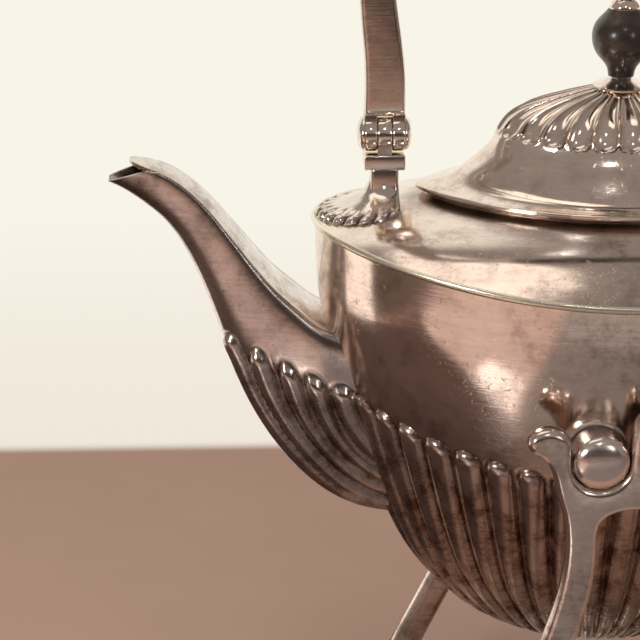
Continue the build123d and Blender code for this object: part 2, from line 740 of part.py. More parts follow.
# ---- stretchers between the frames, and the screws that hold them ----
stretcher_z = table + stretcher_height
stretcher_share = (leg_top - stretcher_z) / leg_drop
stretcher_stations = [(0.0, 0.0)] + leg_shares + [(1.0, 1.0)]
stretcher_x = 0.0
for (d0, r0), (d1, r1) in zip(stretcher_stations, stretcher_stations[1:]):
    if d0 <= stretcher_share <= d1:
        run = r0 + (r1 - r0) * (stretcher_share - d0) / (d1 - d0)
        stretcher_x = leg_waist + leg_width / 2 + run * leg_run
stretcher = slab(
    stretcher_x - stretcher_width / 2,
    stretcher_x + stretcher_width / 2,
    -frame_face,
    frame_face,
    stretcher_z - stretcher_depth / 2,
    stretcher_z + stretcher_depth / 2,
)
screw_bore = rod_y(screw_radius, frame_face - screw_depth, frame_out + 1.0, stretcher_x, stretcher_z)
stretcher -= screw_bore + mirrored_y(screw_bore)
side_frame -= screw_bore + mirrored_x(screw_bore)
save("rear_stretcher", stretcher)
save("front_stretcher", mirrored_x(stretcher))
save("far_side_frame", side_frame)
save("near_side_frame", mirrored_y(side_frame))
screw = rod_y(screw_radius, frame_face - screw_depth, frame_out, stretcher_x, stretcher_z)
screw += Pos(stretcher_x, frame_out, stretcher_z) * Rot(-90, 0, 0) * domed_head(screw_head_radius, screw_head_height)
screws = [screw, mirrored_x(screw), mirrored_y(screw), mirrored_x(mirrored_y(screw))]
save("frame_screws", *screws)

# ---- feet ----
foot_side = [
    (0, 0),
    (0.72 * foot_radius, 0),
    (0.95 * foot_radius, 0.2 * foot_height),
    (foot_radius, 0.42 * foot_height),
    (0.88 * foot_radius, 0.66 * foot_height),
    (0.55 * foot_radius, 0.84 * foot_height),
    (0.62 * foot_radius, foot_height),
    (0, foot_height),
]
foot = Pos(leg_spread, frame_face + frame_thickness / 2, table) * turned(foot_side)
save("feet", foot, mirrored_x(foot), mirrored_y(foot), mirrored_x(mirrored_y(foot)))

# ---- burner ring, strapped to the stretchers ----
ring_top = stretcher_z + ring_height / 2
ring_low = stretcher_z - ring_height / 2
strap_end = stretcher_x - stretcher_width / 2
ring_band = slab(-strap_end, strap_end, -strap_width / 2, strap_width / 2, ring_low + 1, ring_top - 1)
burner_ring = ring_band + rod_z(ring_outer_radius, ring_low, ring_top)
burner_ring -= rod_z(ring_inner_radius, ring_low - 5, ring_top + 5)
save("burner_ring", burner_ring)

# ---- burner reservoir ----
flange_z = ring_top + burner_gap
flange_up = flange_z + flange_sheet
tank_low = flange_z - reservoir_depth
dome_top = flange_up + dome_rise
neck = collar_outer_radius - 3.0
reservoir_outline = [
    (0, tank_low),
    (0.55 * reservoir_radius, tank_low),
    (0.93 * reservoir_radius, tank_low + 0.22 * reservoir_depth),
    (reservoir_radius, tank_low + 0.55 * reservoir_depth),
    (reservoir_radius, flange_z),
    (reservoir_flange_radius, flange_z),
    (reservoir_flange_radius, flange_up),
    (0.94 * reservoir_radius, flange_up),
    (0.76 * reservoir_radius, flange_up + 0.55 * dome_rise),
    (collar_outer_radius + 3, dome_top),
    (0, dome_top),
]
w = reservoir_wall
hollow_outline = [
    (0, tank_low + w),
    (0.55 * reservoir_radius - w / 2, tank_low + w),
    (0.93 * reservoir_radius - w, tank_low + 0.22 * reservoir_depth + w / 2),
    (reservoir_radius - w, tank_low + 0.55 * reservoir_depth),
    (reservoir_radius - w, flange_z),
    (0.94 * reservoir_radius - w, flange_up - w / 2),
    (0.76 * reservoir_radius - w / 2, flange_up + 0.55 * dome_rise - w),
    (collar_outer_radius + 2, dome_top - w),
    (0, dome_top - w),
]
reservoir = turned(reservoir_outline) - turned(hollow_outline) - rod_z(neck, dome_top - 5, dome_top + 5)
save("burner_reservoir", reservoir)

# ---- burner collar, wick tube and wick ----
collar_top = dome_top + collar_rise
collar = rod_z(neck, dome_top - 4, dome_top) + rod_z(collar_outer_radius, dome_top, collar_top)
collar -= rod_z(wick_tube_radius, dome_top - 10, collar_top + 5)
tube_top = collar_top + wick_tube_rise
wick_tube = rod_z(wick_tube_radius, dome_top - 6, tube_top)
wick_tube -= rod_z(wick_tube_radius - wick_tube_wall, dome_top - 10, tube_top + 5)
save("wick_tube", wick_tube)
wick = rod_z(wick_tube_radius - wick_tube_wall, tank_low + w + 2, tube_top + wick_rise)
save("wick", wick)

# ---- snuffer cap, hinged at the collar's rear ----
cap_hinge_x = cap_radius + cap_hinge_radius + 0.8
cap_hinge_z = collar_top + cap_gap + cap_hinge_radius + 0.2
cap_low = collar_top + cap_gap
cap_high = cap_low + cap_height
cap_outer = turned(
    [
        (0, cap_low),
        (cap_radius, cap_low),
        (cap_radius, cap_low + 0.55 * cap_height),
        (0.75 * cap_radius, cap_low + 0.82 * cap_height),
        (0.35 * cap_radius, cap_high),
        (0, cap_high),
    ]
)
cap_inner = turned(
    [
        (0, cap_low - 1),
        (cap_radius - cap_wall, cap_low - 1),
        (cap_radius - cap_wall, cap_low + 0.55 * cap_height - cap_wall / 2),
        (0.75 * cap_radius - cap_wall, cap_low + 0.82 * cap_height - cap_wall),
        (0.35 * cap_radius - cap_wall / 2, cap_high - cap_wall),
        (0, cap_high - cap_wall),
    ]
)
cap_knuckle = 3.0
ear_in = cap_knuckle / 2 + side_gap
ear_out = ear_in + 2.0
pin_reach = ear_out + 1.0
cap_web = slab(cap_radius - 0.6, cap_hinge_x, -cap_knuckle / 2, cap_knuckle / 2, cap_hinge_z - 0.9, cap_hinge_z + 0.9)
cap = (cap_outer + cap_web) - cap_inner
cap += rod_y(cap_hinge_radius, -cap_knuckle / 2, cap_knuckle / 2, cap_hinge_x, cap_hinge_z)
cap -= rod_y(cap_pin_radius + running_gap, -pin_reach, pin_reach, cap_hinge_x, cap_hinge_z)
knob = Pos(0, 0, cap_high - 0.3) * turned([(0, 0), (1.4, 0), (1.4, 1.2), (2.4, 2.4), (1.8, 3.6), (0, 4.0)])
save("snuffer_cap", cap + knob)
ear = rod_y(cap_hinge_radius, ear_in, ear_out, cap_hinge_x, cap_hinge_z)
ear += slab(collar_outer_radius - 2, cap_hinge_x + cap_hinge_radius, ear_in, ear_out, collar_top - 2.5, cap_hinge_z)
ears = (ear + mirrored_y(ear)) - slab(-cap_hinge_x, collar_outer_radius - 1.0, -9, 9, collar_top, collar_top + 9)
collar += ears
collar -= rod_y(cap_pin_radius, -pin_reach, pin_reach, cap_hinge_x, cap_hinge_z)
save("burner_collar", collar)
save("snuffer_pin", rod_y(cap_pin_radius, -ear_out, ear_out, cap_hinge_x, cap_hinge_z))

# ---- burner handle: a flat finger loop on the flange, towards the user ----
handle_low = flange_z + 0.1
handle_high = flange_up - 0.1
handle_root = -reservoir_flange_radius
loop_y = handle_root - burner_handle_reach + finger_loop_radius
finger_hole = finger_loop_radius - finger_loop_rim
burner_handle = slab(
    -burner_handle_width / 2, burner_handle_width / 2, loop_y, handle_root + 3, handle_low, handle_high
)
burner_handle += rod_z(finger_loop_radius, handle_low, handle_high, 0, loop_y)
burner_handle -= rod_z(reservoir_flange_radius, flange_z - 5, flange_up + 5)
burner_handle -= rod_z(finger_hole, flange_z - 5, flange_up + 5, 0, loop_y)
save("burner_handle", burner_handle)
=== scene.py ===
from math import pi, radians

import bpy
import numpy as np
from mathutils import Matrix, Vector, geometry


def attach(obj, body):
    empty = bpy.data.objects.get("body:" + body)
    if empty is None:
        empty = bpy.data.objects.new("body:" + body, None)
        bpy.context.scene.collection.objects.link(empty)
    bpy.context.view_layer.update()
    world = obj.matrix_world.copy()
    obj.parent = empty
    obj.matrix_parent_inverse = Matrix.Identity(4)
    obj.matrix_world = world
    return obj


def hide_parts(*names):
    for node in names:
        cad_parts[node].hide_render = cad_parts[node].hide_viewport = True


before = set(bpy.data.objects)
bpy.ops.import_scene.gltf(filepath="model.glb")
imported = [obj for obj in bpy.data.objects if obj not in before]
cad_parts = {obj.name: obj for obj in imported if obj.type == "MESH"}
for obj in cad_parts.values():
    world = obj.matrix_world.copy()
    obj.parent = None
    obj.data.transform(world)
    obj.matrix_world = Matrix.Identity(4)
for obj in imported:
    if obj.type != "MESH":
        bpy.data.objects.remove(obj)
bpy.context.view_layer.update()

KETTLE_TO_PART = np.array([33.35, 0.0, 240.0])  # millimetres, from the kettle's axis to the part's frame


def run_along(points):
    """Distance of each point along a line from its first: the running sum of the steps' lengths."""
    return np.append(0, np.cumsum(np.linalg.norm(np.diff(points, axis=0), axis=1)))


def through(stations, count):
    """Smooth rows through the stations: a natural cubic spline on their spacing, sampled evenly."""
    rows = np.asarray(stations, float)
    knots = run_along(rows)
    gaps, total = np.diff(knots), len(rows)
    system, pull = np.eye(total), np.zeros_like(rows)
    inner = np.arange(1, total - 1)
    system[inner, inner - 1], system[inner, inner + 1] = gaps[:-1], gaps[1:]
    system[inner, inner] = 2 * (gaps[:-1] + gaps[1:])
    slopes = np.diff(rows, axis=0) / gaps[:, None]
    pull[inner] = 6 * np.diff(slopes, axis=0)
    bend = np.linalg.solve(system, pull)
    at = np.linspace(0, knots[-1], count)
    i = np.clip(np.searchsorted(knots, at) - 1, 0, total - 2)
    gap, after, before = gaps[i][:, None], (at - knots[i])[:, None], (knots[i + 1] - at)[:, None]
    cubic = (bend[i] * before**3 + bend[i + 1] * after**3) / (6 * gap)
    straight = (rows[i] / gap - bend[i] * gap / 6) * before
    return cubic + straight + (rows[i + 1] / gap - bend[i + 1] * gap / 6) * after


def oval(turn, length, width, pointed=1.1):
    """Oval drawn out to a point at its ends: x = length cos t, y = width |sin t|^pointed, signed as sin t."""
    across = np.sign(np.sin(turn)) * np.abs(np.sin(turn)) ** pointed
    return length * np.cos(turn), width * across


def step(value, start, end):
    """Smooth step from 0 at start to 1 at end: 3s^2 - 2s^3."""
    s = np.clip((value - start) / (end - start), 0, 1)
    return s * s * (3 - 2 * s)


def bell(value, width):
    """Bell curve: 1 where the value is 0, exp(-(value / width)^2) elsewhere."""
    return np.exp(-((value / width) ** 2))


def outward(grid, centre):
    """Unit normals that point away from a centre, on a grid whose rows close on themselves: the cross product
    of the grid's two directions."""
    across = np.roll(grid, -1, axis=1) - np.roll(grid, 1, axis=1)
    normal = np.cross(across, np.gradient(grid, axis=0))
    normal /= np.maximum(np.linalg.norm(normal, axis=2, keepdims=True), 1e-12)
    return normal * np.sign((normal * (grid - centre)).sum())


def facing_out(points, quads, fans):
    """The faces, turned round where the volume that they enclose comes out negative."""
    corners = np.concatenate([quads[:, [0, 1, 2]], quads[:, [0, 2, 3]], fans])
    a, b, c = points[corners].swapaxes(0, 1)
    if np.einsum("ij,ij->i", a, np.cross(b, c)).sum() < 0:
        return quads[:, ::-1], fans[:, ::-1]
    return quads, fans


def shell(grid, mask=None, loop=False):
    """Closed skin over rows of points, each row closing on itself. The first and last rows are joined with
    loop, and otherwise each is filled to its middle. The mask is one number a point."""
    rows, columns = grid.shape[:2]
    points = grid.reshape(-1, 3)
    values = np.zeros(len(points)) if mask is None else np.broadcast_to(mask, (rows, columns)).reshape(-1)
    number = np.arange(rows * columns).reshape(rows, columns)
    below = np.roll(number, -1, axis=0) if loop else number[1:]
    above = number if loop else number[:-1]
    quads = np.stack([above, np.roll(above, -1, 1), np.roll(below, -1, 1), below], -1).reshape(-1, 4)
    fans = np.zeros((0, 3), int)
    if not loop:
        ends = []
        for row, flip in ((number[0], True), (number[-1], False)):
            middle = np.full(columns, len(points))
            points = np.vstack([points, points[row].mean(0)])
            values = np.append(values, values[row].mean())
            ahead = np.roll(row, -1)
            ends.append(np.stack([ahead, row, middle] if flip else [row, ahead, middle], -1))
        fans = np.vstack(ends)
    return points, values, *facing_out(points, quads, fans)


def piece(name, skins, body, node, finish, crease=38):
    """One object from skins in the kettle's millimetres, its faces smooth up to the crease angle."""
    points = np.vstack([s[0] for s in skins])
    values = np.concatenate([s[1] for s in skins])
    starts = np.cumsum([0] + [len(s[0]) for s in skins[:-1]])
    quads = np.vstack([s[2] + n for s, n in zip(skins, starts)])
    fans = np.vstack([s[3] + n for s, n in zip(skins, starts)])
    mesh = bpy.data.meshes.new(name)
    mesh.vertices.add(len(points))
    mesh.vertices.foreach_set("co", ((points + KETTLE_TO_PART) / 1000).ravel())
    mesh.loops.add(quads.size + fans.size)
    mesh.loops.foreach_set("vertex_index", np.concatenate([quads.ravel(), fans.ravel()]))
    mesh.polygons.add(len(quads) + len(fans))
    begin = np.append(np.arange(len(quads)) * 4, quads.size + np.arange(len(fans)) * 3)
    mesh.polygons.foreach_set("loop_start", begin)
    mesh.update(calc_edges=True)
    mesh.attributes.new("tarnish_and_shade", "FLOAT", "POINT").data.foreach_set("value", values)
    mesh.shade_smooth()
    mesh.set_sharp_from_angle(angle=radians(crease))
    mesh.validate()
    made = bpy.data.objects.new(name, mesh)
    bpy.context.scene.collection.objects.link(made)
    mesh.materials.append(finish)
    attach(made, body)
    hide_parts(node)


def add_node(tree, kind, settings=None, out=0, **inputs):
    """Any node: its settings first, then the values or links of its sockets, and one of its outputs. A socket
    goes by its name, or by its number as in i0."""
    made = tree.nodes.new(kind)
    for key, value in (settings or {}).items():
        setattr(made, key, value)
    for key, value in inputs.items():
        socket = made.inputs[int(key[1:]) if key[1:].isdigit() else key.replace("_", " ")]
        if isinstance(value, Reading):
            tree.links.new(value.socket, socket)
        else:
            socket.default_value = value
    return Reading(tree, made.outputs[out])


class Reading:
    """A number that varies over a surface. Arithmetic on readings adds the shader's Math nodes."""

    def __init__(self, tree, socket):
        self.tree, self.socket = tree, socket

    def math(self, operation, other):
        return add_node(self.tree, "ShaderNodeMath", {"operation": operation}, i0=self, i1=other)

    def __add__(self, other):
        return self.math("ADD", other)

    def __sub__(self, other):
        return self.math("SUBTRACT", other)

    def __mul__(self, other):
        return self.math("MULTIPLY", other)

    def __rsub__(self, other):
        return (self * -1) + other

    __radd__, __rmul__ = __add__, __mul__

    def between(self, low, high):
        """0 at low and below, 1 at high and above, smooth between."""
        smooth = {"interpolation_type": "SMOOTHSTEP"}
        return add_node(self.tree, "ShaderNodeMapRange", smooth, i0=self, i1=low, i2=high)


class Finish:
    """A material under way: its tree, its Principled shader and the ways to add to them."""

    def __init__(self, name, **constants):
        self.material = bpy.data.materials.new(name)
        self.material.use_nodes = True
        self.tree = self.material.node_tree
        self.shader = self.tree.nodes["Principled BSDF"]
        for socket, value in constants.items():
            self.shader.inputs[socket.replace("_", " ")].default_value = value
        self.place = self.node("ShaderNodeTexCoord", out="Object")

    def node(self, kind, settings=None, out=0, **inputs):
        return add_node(self.tree, kind, settings, out, **inputs)

    def cloud(self, scale, detail=3.0, rough=0.55, stretch=(1, 1, 1), offset=(0, 0, 0), bend=0.0):
        """Noise from 0 to 1, scale per metre, pulled out along the axes whose stretch is small."""
        spot = self.node("ShaderNodeMapping", Vector=self.place, Scale=stretch, Location=offset)
        grain = {"Scale": scale, "Detail": detail, "Roughness": rough, "Distortion": bend}
        return self.node("ShaderNodeTexNoise", Vector=spot, **grain)

    def blend(self, share, first, second):
        """Colour from first to second by a reading from 0 to 1."""
        first, second = (c if isinstance(c, Reading) else (*c, 1.0) for c in (first, second))
        return self.node("ShaderNodeMix", {"data_type": "RGBA"}, out=2, i0=share, i6=first, i7=second)

    def feed(self, socket, reading):
        self.tree.links.new(reading.socket, self.shader.inputs[socket])

    def bump(self, height, strength, distance, under=None):
        extra = {"Normal": under} if under else {}
        return self.node("ShaderNodeBump", Height=height, Strength=strength, Distance=distance, **extra)


def plate(name, clean, dull, dark, tarnish_and_shade=0.5, sheen=0.16, patch=38.0, worn=(0.93, 0.84, 0.62)):
    """Silver plate: clean metal under warm clouds of tarnished film, darkest where the piece's mask says,
    which marks tarnished places and, on some pieces, painted shade; yellow where edges are rubbed, with fine
    wiping marks, pits and a slightly uneven surface."""
    f = Finish(name, Metallic=1.0)
    mask = f.node("ShaderNodeAttribute", {"attribute_name": "tarnish_and_shade"}, out="Fac")
    broad = f.cloud(patch * 0.4, 4.0, 0.6).between(0.36, 0.68)
    mottle = f.cloud(patch * 3.2, 8.0, 0.76).between(0.42, 0.68)
    speck = f.cloud(patch * 24, 3.0, 0.6).between(0.62, 0.74)
    wiped = f.cloud(110, 3.0, 0.6, stretch=(0.5, 1.0, 7.0))
    fine = f.cloud(520, 1.0, 0.5, stretch=(0.16, 0.3, 2.6), offset=(0.3, 0.1, 0))
    swirl = f.cloud(240, 5.0, 0.75, stretch=(0.6, 1.0, 1.8), bend=1.4)
    film = (broad * 0.6 + mottle * 0.35 + (wiped - 0.5) * 0.9 + (swirl - 0.5) * 1.1) * tarnish_and_shade
    edge = f.node("ShaderNodeNewGeometry", out="Pointiness").between(0.53, 0.60)
    cover = (broad * mottle * tarnish_and_shade * 0.6).math("MAXIMUM", mask * (mottle * 0.4 + 0.74))
    colour = f.blend(film, clean, dull)
    colour = f.blend((cover * 1.08 - 0.05).math("MINIMUM", 1.0).math("MAXIMUM", 0.0), colour, dark)
    colour = f.blend(speck * broad * tarnish_and_shade * 0.7, colour, tuple(c * 0.6 for c in dark))
    colour = f.blend(edge * (1 - mask) * 0.5, colour, worn)
    f.feed("Base Color", colour)
    f.feed("Roughness", wiped * 0.08 + film * 0.12 + mask * 0.16 + (sheen - 0.05))
    level = f.bump(f.cloud(42, 2.0), 0.10, 0.0010)
    level = f.bump(wiped * 0.6 + fine * 0.4, 0.035, 0.0005, under=level)
    level = f.bump(mottle * (mask + 0.08), 0.08, 0.0004, under=level)
    f.feed("Normal", f.bump(speck, 0.10, 0.0003, under=level))
    return f.material


# Its darkest colour paints tarnish, and also the painted shade on the reeds and the shoulder.
body_plate = plate("body_plate", (0.96, 0.83, 0.75), (0.55, 0.44, 0.38), (0.13, 0.062, 0.042), 0.60, 0.11)

half_length, half_width, depth = 100.0, 69.0, 150.0
body_shares = [
    (-0.10, 1.0, 1.0), (0.00, 1.0, 1.0), (0.08, 0.996, 0.996), (0.18, 0.986, 0.988), (0.28, 0.952, 0.967),
    (0.375, 0.908, 0.939), (0.48, 0.86, 0.902), (0.59, 0.808, 0.842), (0.69, 0.752, 0.766),
    (0.79, 0.68, 0.67), (0.88, 0.58, 0.552), (0.96, 0.45, 0.416), (1.00, 0.345, 0.31),
]
body_line = through([(d * depth, a * half_length, b * half_width) for d, a, b in body_shares], 900)


def body_oval(height):
    """Half length and half width of the body's wall at a height."""
    return [np.interp(-height, body_line[:, 0], body_line[:, k]) for k in (1, 2)]


flat_rise, sheet = 7.6, 1.6
dome_line = through([
    (-14.25, 145.0, 74.9, 1.1), (-9.5, 128.0, 69.0, 1.1), (0.0, 100.0, 55.8, 1.1), (4.71, 75.9, 44.2, 1.3),
    (flat_rise, 64.0, 37.6, 1.5),
], 600)


def dome_oval(height):
    """Half length, half width and pointedness of the shoulder's level oval at a height."""
    return [np.interp(height, dome_line[:, 0], dome_line[:, k]) for k in (1, 2, 3)]


def dome_height(x, y):
    """Height of the shoulder over (x, y), found by halving the range of heights again and again."""
    low, high = np.full(np.shape(x), -14.0), np.full(np.shape(x), flat_rise)
    for _ in range(28):
        middle = (low + high) / 2
        a, b, pointed = dome_oval(middle)
        inside = (np.abs(x) / a) ** 2 + (np.abs(y) / b) ** (2 / pointed) < 1
        low, high = np.where(inside, middle, low), np.where(inside, high, middle)
    return (low + high) / 2


def shoulder_rim(turn):
    """Points where the shoulder meets the body's wall."""
    height = np.zeros_like(turn)
    for _ in range(4):
        x, y = oval(turn, *body_oval(height))
        height = dome_height(x, y)
    return x, y, height


def divided(count, half_steps, half_length, half_width, shift=0.0, way=1):
    """Turns of points round an oval that is divided evenly from the middle of its near side, how far each
    point is from the middle of its division, as a share of the pitch, and the pitch."""
    steps = np.concatenate([[-0.5], np.negative(half_steps), [0.0], half_steps[::-1]])
    turns = np.linspace(0, 2 * pi, 4001)
    arc = run_along(np.stack(oval(turns, half_length, half_width), -1))
    pitch, near_side = arc[-1] / count, 0.75 * arc[-1]
    place = (np.arange(count)[:, None] + steps).ravel() * pitch
    turn = np.interp((near_side + shift + way * place) % arc[-1], arc, turns)
    return turn[None, :], np.tile(steps, count)[None, :], pitch


reeds, reed_half, reed_shift = 44, 0.41, -1.7  # half a reed's width is a share of the pitch
reed_rise, reed_swell, groove, rib_rise = 2.0, 0.9, 1.3, 0.6
half_steps = [0.465, 0.43, 0.40, 0.36, 0.28, 0.19, 0.095]
turn, reed_off, reed_pitch = divided(reeds, half_steps, 90.5, 64.5, reed_shift, way=-1)
rim_height = shoulder_rim(turn)[2] - sheet
reed_top = -55.4 - 14.4 * np.sin(turn) ** 2
ends_from, ends_run = reed_top + 1.2, 13.0  # the reeds' domed ends have the closest rows
upper = rim_height + (ends_from - rim_height) * np.linspace(0, 1, 12)[:-1, None]
domed = ends_from - ends_run * np.linspace(0, 1, 27)[:-1, None]
profile_arc = run_along(body_line[:, :2])
start_arc = np.interp(ends_run - ends_from, body_line[:, 0], profile_arc)
lower_arc = start_arc + (profile_arc[-1] - start_arc) * np.linspace(0, 1, 50)[:, None]
lower = -np.interp(lower_arc, profile_arc, body_line[:, 0])
height = np.vstack([upper, domed, lower])
length, width = body_oval(height)
x, y = oval(turn + 0 * height, length, width)
wall = np.stack([x, y, height], -1)
wall_normal = outward(wall, [0, 0, 0])
below_top = reed_top - height
narrowing = np.minimum(1.0, length / 90.0)
reach = reed_half * reed_pitch
from_end = np.hypot(reed_off * reed_pitch, reach - below_top) / reach
off = np.where(below_top < reach, from_end, np.abs(reed_off) / reed_half)
lobe = np.sqrt(np.clip(1 - off**2, 0, 1))
sink = step(below_top, -0.5, 11.0)
rib = bell(np.abs(reed_off) - 0.5, 0.035) * step(below_top, 6.0, 11.0) * (1 - step(below_top, 58.0, 76.0))
foot_fade = 1 - step(below_top, 82.0, 90.0)
relief = lobe * (reed_rise + reed_swell * sink) - groove * sink + rib_rise * rib
relief -= 0.22 * bell(off - 1.12, 0.14) * step(below_top, -1.5, 1.5) * (1 - sink)
relief *= narrowing * foot_fade
outer = wall + wall_normal * relief[..., None]
# Tarnish and painted shade: the reeds are darkened all along, as the shadowed table that they mirror, and
# most in the grooves, where tarnish also lies. Each domed end is left clean, a painted highlight, in a
# painted dark ring, and the plain wall is painted darker down towards the reeds.
zone = step(below_top, -1.0, 7.0)
ends = bell(off - 1.08, 0.24) * step(below_top, -2.8, 0.2)
crest = 0.42 + 0.40 * step(below_top, 3.0, 14.0)
tarnish_and_shade = zone * (crest * lobe + (1 - lobe)) - 0.45 * rib + ends * (1 - zone)
tarnish_and_shade = np.clip(np.maximum(tarnish_and_shade, 0.62 * step(below_top, -30.0, -2.0) ** 1.5), 0, 1)
bottom_shares = ((0.02, -149.6), (0.5, -149.6), (0.93, -149.8), (0.985, -150.0))
bottom = [outer[-1] * [s, s, 0] + [0, 0, z] for s, z in bottom_shares]
thin = 1.2 + 1.3 * step(below_top, -1.0, 8.0) * narrowing * foot_fade
inside = wall - wall_normal * thin[..., None]
inside = inside[[0, 3, 6, 9, 11, 15, 19, 23, 27, 32, 37, 43, 49, 56, 63, 70, 76, 81]]
inside = inside[inside[:, :, 2].max(1) > -147.5]
inside_floor = [inside[-1] * [s, s, 0] + [0, 0, -148.4] for s in (0.9, 0.5, 0.02)]
grid = np.concatenate([bottom, outer[::-1], inside, inside_floor])
mask = np.full(grid.shape[:2], 0.35)
mask[: len(bottom)] = 0.5
mask[len(bottom) : len(bottom) + len(outer)] = tarnish_and_shade[::-1]
piece("body_vessel", [shell(grid, mask)], "kettle", "kettle_body", body_plate)

# ---- Shoulder, its bead and the lid's bezel ----
# The shoulder is a shallow dome of sheet, dished to a boat's sheer at its rim and soldered into the wall.
# A drawn wire covers the seam. The bezel is a plain upright collar in the shoulder's opening.
turn = np.linspace(0, 2 * pi, 289)[None, :-1]
rim_x, rim_y, rim_z = shoulder_rim(turn)
a, b, pointed = dome_oval(rim_z)
rim_turn = np.arctan2(np.sign(rim_y) * (np.abs(rim_y) / b) ** (1 / pointed), rim_x / a) % (2 * pi)
rim_turn = np.where(np.abs(rim_turn - turn) > pi, rim_turn - 2 * pi, rim_turn)
share = np.linspace(0, 1, 34)[:, None]
level = flat_rise + (rim_z - flat_rise) * share
x, y = oval(turn + (rim_turn - turn) * share, *dome_oval(level))
top_side = np.stack([x, y, level], -1)


def oval_rows(profile, turn, pointed=1.5):
    """Rows of points round the ovals of a profile given as (height, half length, half width)."""
    z, a, b = np.asarray(profile, float).T[:, :, None]
    x, y = oval(turn + 0 * z, a, b, pointed)
    return np.stack([x, y, z + 0 * x], -1)


mouth_length, mouth_width = 62.5, 36.1
hole_edge = [(flat_rise - sheet, 0.0), (flat_rise - 0.2, 0.0), (flat_rise, 0.3)]
hole_edge = oval_rows([(z, mouth_length + ease, mouth_width + ease) for z, ease in hole_edge], turn)
under_side = top_side[::-3] - [0, 0, sheet]
grid = np.concatenate([hole_edge, top_side, under_side])
# Painted shade: a dark band on the shoulder up against the lid, standing for the lid that it mirrors and the
# shade under its flange.
painted_shade_by_lid = 0.62 * step(level, 4.4, 7.0)
mask = np.concatenate([np.full((3, turn.size), 0.7), painted_shade_by_lid, np.full((len(under_side), turn.size), 0.5)])
piece("shoulder_dome", [shell(grid, mask, loop=True)], "kettle", "shoulder", body_plate)

# Painted highlight: the wire's pale yellow colours are lighter than the other plates', so that it reads as a
# bright line where it mirrors the dark table.
painted_bright_bead_metal = plate("painted_bright_bead_metal", (0.97, 0.92, 0.77), (0.86, 0.79, 0.62), (0.20, 0.13, 0.08), 0.25, 0.27)
along_x, along_y = np.gradient(rim_x, axis=1), np.gradient(rim_y, axis=1)
side = np.stack([along_y, -along_x, 0 * along_x], -1)
side /= np.linalg.norm(side, axis=2, keepdims=True)
around = np.linspace(-pi / 2, pi / 2, 13)[:, None]
out = np.concatenate([np.cos(around) ** 0.8, [[-0.4], [-0.4]]])
up = np.concatenate([-0.7 + 1.2 * np.sin(around), [[0.2], [-sheet]]])
rim = np.stack([rim_x, rim_y, rim_z], -1)
grid = rim + side * out[..., None] + np.array([0, 0, 1.0]) * up[..., None]
mask = np.broadcast_to(0.75 * step(-up, 0.9, 1.8), grid.shape[:2])
bead = shell(grid, mask, loop=True)
piece("shoulder_bead_wire", [bead], "kettle", "shoulder_bead", painted_bright_bead_metal)

bezel = [(3.1, 0.0), (8.9, 0.0), (9.2, 0.3), (9.2, 1.1), (8.9, 1.4), (3.1, 1.4)]
bezel = oval_rows([(z, mouth_length - inset, mouth_width - inset) for z, inset in bezel], turn)
mask = np.array([0.8, 0.6, 0.3, 0.3, 0.4, 0.6])[:, None]
piece("bezel_collar", [shell(bezel, mask, loop=True)], "kettle", "lid_bezel", body_plate)

# ---- Spout ----
# Two stamped halves soldered along the keel, with a nearly flat strip let in along the top. Five lobes on
# each side start under the strip's edge and sweep down into the root. The mouth has a short upper lip.
spout_stations = [
    (84.0, -38.5, 66.0, -107.0, 13.4, 17.0), (96.0, -34.4, 86.8, -102.8, 13.0, 17.0),
    (105.2, -27.8, 109.3, -84.0, 12.2, 16.0), (113.7, -19.8, 124.4, -58.7, 11.4, 14.2),
    (122.0, -9.6, 134.0, -32.6, 10.4, 12.2), (130.0, 0.8, 140.9, -14.6, 9.3, 10.4),
    (138.2, 10.1, 148.6, -1.6, 8.1, 8.9), (147.0, 16.6, 156.1, 5.5, 7.2, 7.8),
    (155.0, 19.6, 162.9, 10.3, 6.6, 6.8), (163.0, 20.6, 170.5, 14.0, 5.8, 6.0),
]
# Its darkest colour paints tarnish, and also the painted shade on the lobes and sides.
spout_plate = plate("spout_plate", (0.92, 0.83, 0.77), (0.47, 0.42, 0.40), (0.12, 0.066, 0.048), 0.75, 0.11)
spout_wall, spout_middle = 1.3, [-110, 0, -50]
strip = np.linspace(-1, 1, 15)[:-1]
side_shares = [(1, 0, 1), (0, 1, 0.62), (0, 0.8, 0.26)]
belly_shares = side_shares + [(0, 0, 0)] + [(-a, -b, c) for a, b, c in side_shares[::-1]]
belly_shares = through(belly_shares, 211)[:-1]
half_round = len(belly_shares) // 2
keel = len(strip) + half_round


def eased(values):
    """Each value averaged with its two neighbours in the row, itself counted twice."""
    return (np.roll(values, 1, 1) + 2 * values + np.roll(values, -1, 1)) / 4


def spout_skin(rows, inset):
    """Rows of D sections along the spout, set in by the inset: a shallow arc for the strip, then a spline
    round the belly, with the corner between them eased."""
    line = through(spout_stations, rows)
    top, low, band, wide = line[:, None, 0:2], line[:, None, 2:4], line[:, 4:5] - inset, line[:, 5:6] - inset
    size = np.linalg.norm(top - low, axis=2, keepdims=True)
    axis = (top - low) / size
    tall = size[:, :, 0] - 1.2 - 2 * inset
    over = eased(np.hstack([band * strip, belly_shares[:, 0] * band + belly_shares[:, 1] * wide]))
    up = eased(np.hstack([tall + 1.2 * (1 - strip**2), tall * belly_shares[:, 2]]) + inset)
    flat = low + axis * up[..., None]
    return np.stack([-flat[..., 0], over, flat[..., 1]], -1)


def in_body(points):
    """True inside the body's outer wall."""
    a, b = body_oval(points[..., 2])
    return (points[..., 0] / a) ** 2 + (np.abs(points[..., 1]) / b) ** (2 / 1.1) < 0.992


parting_x, parting_z, tip_x, tip_z = -155.8, 17.4, -167.7, 13.4
lip_from, lip_length, lip_half_width = -151.1, 9.5, 6.8


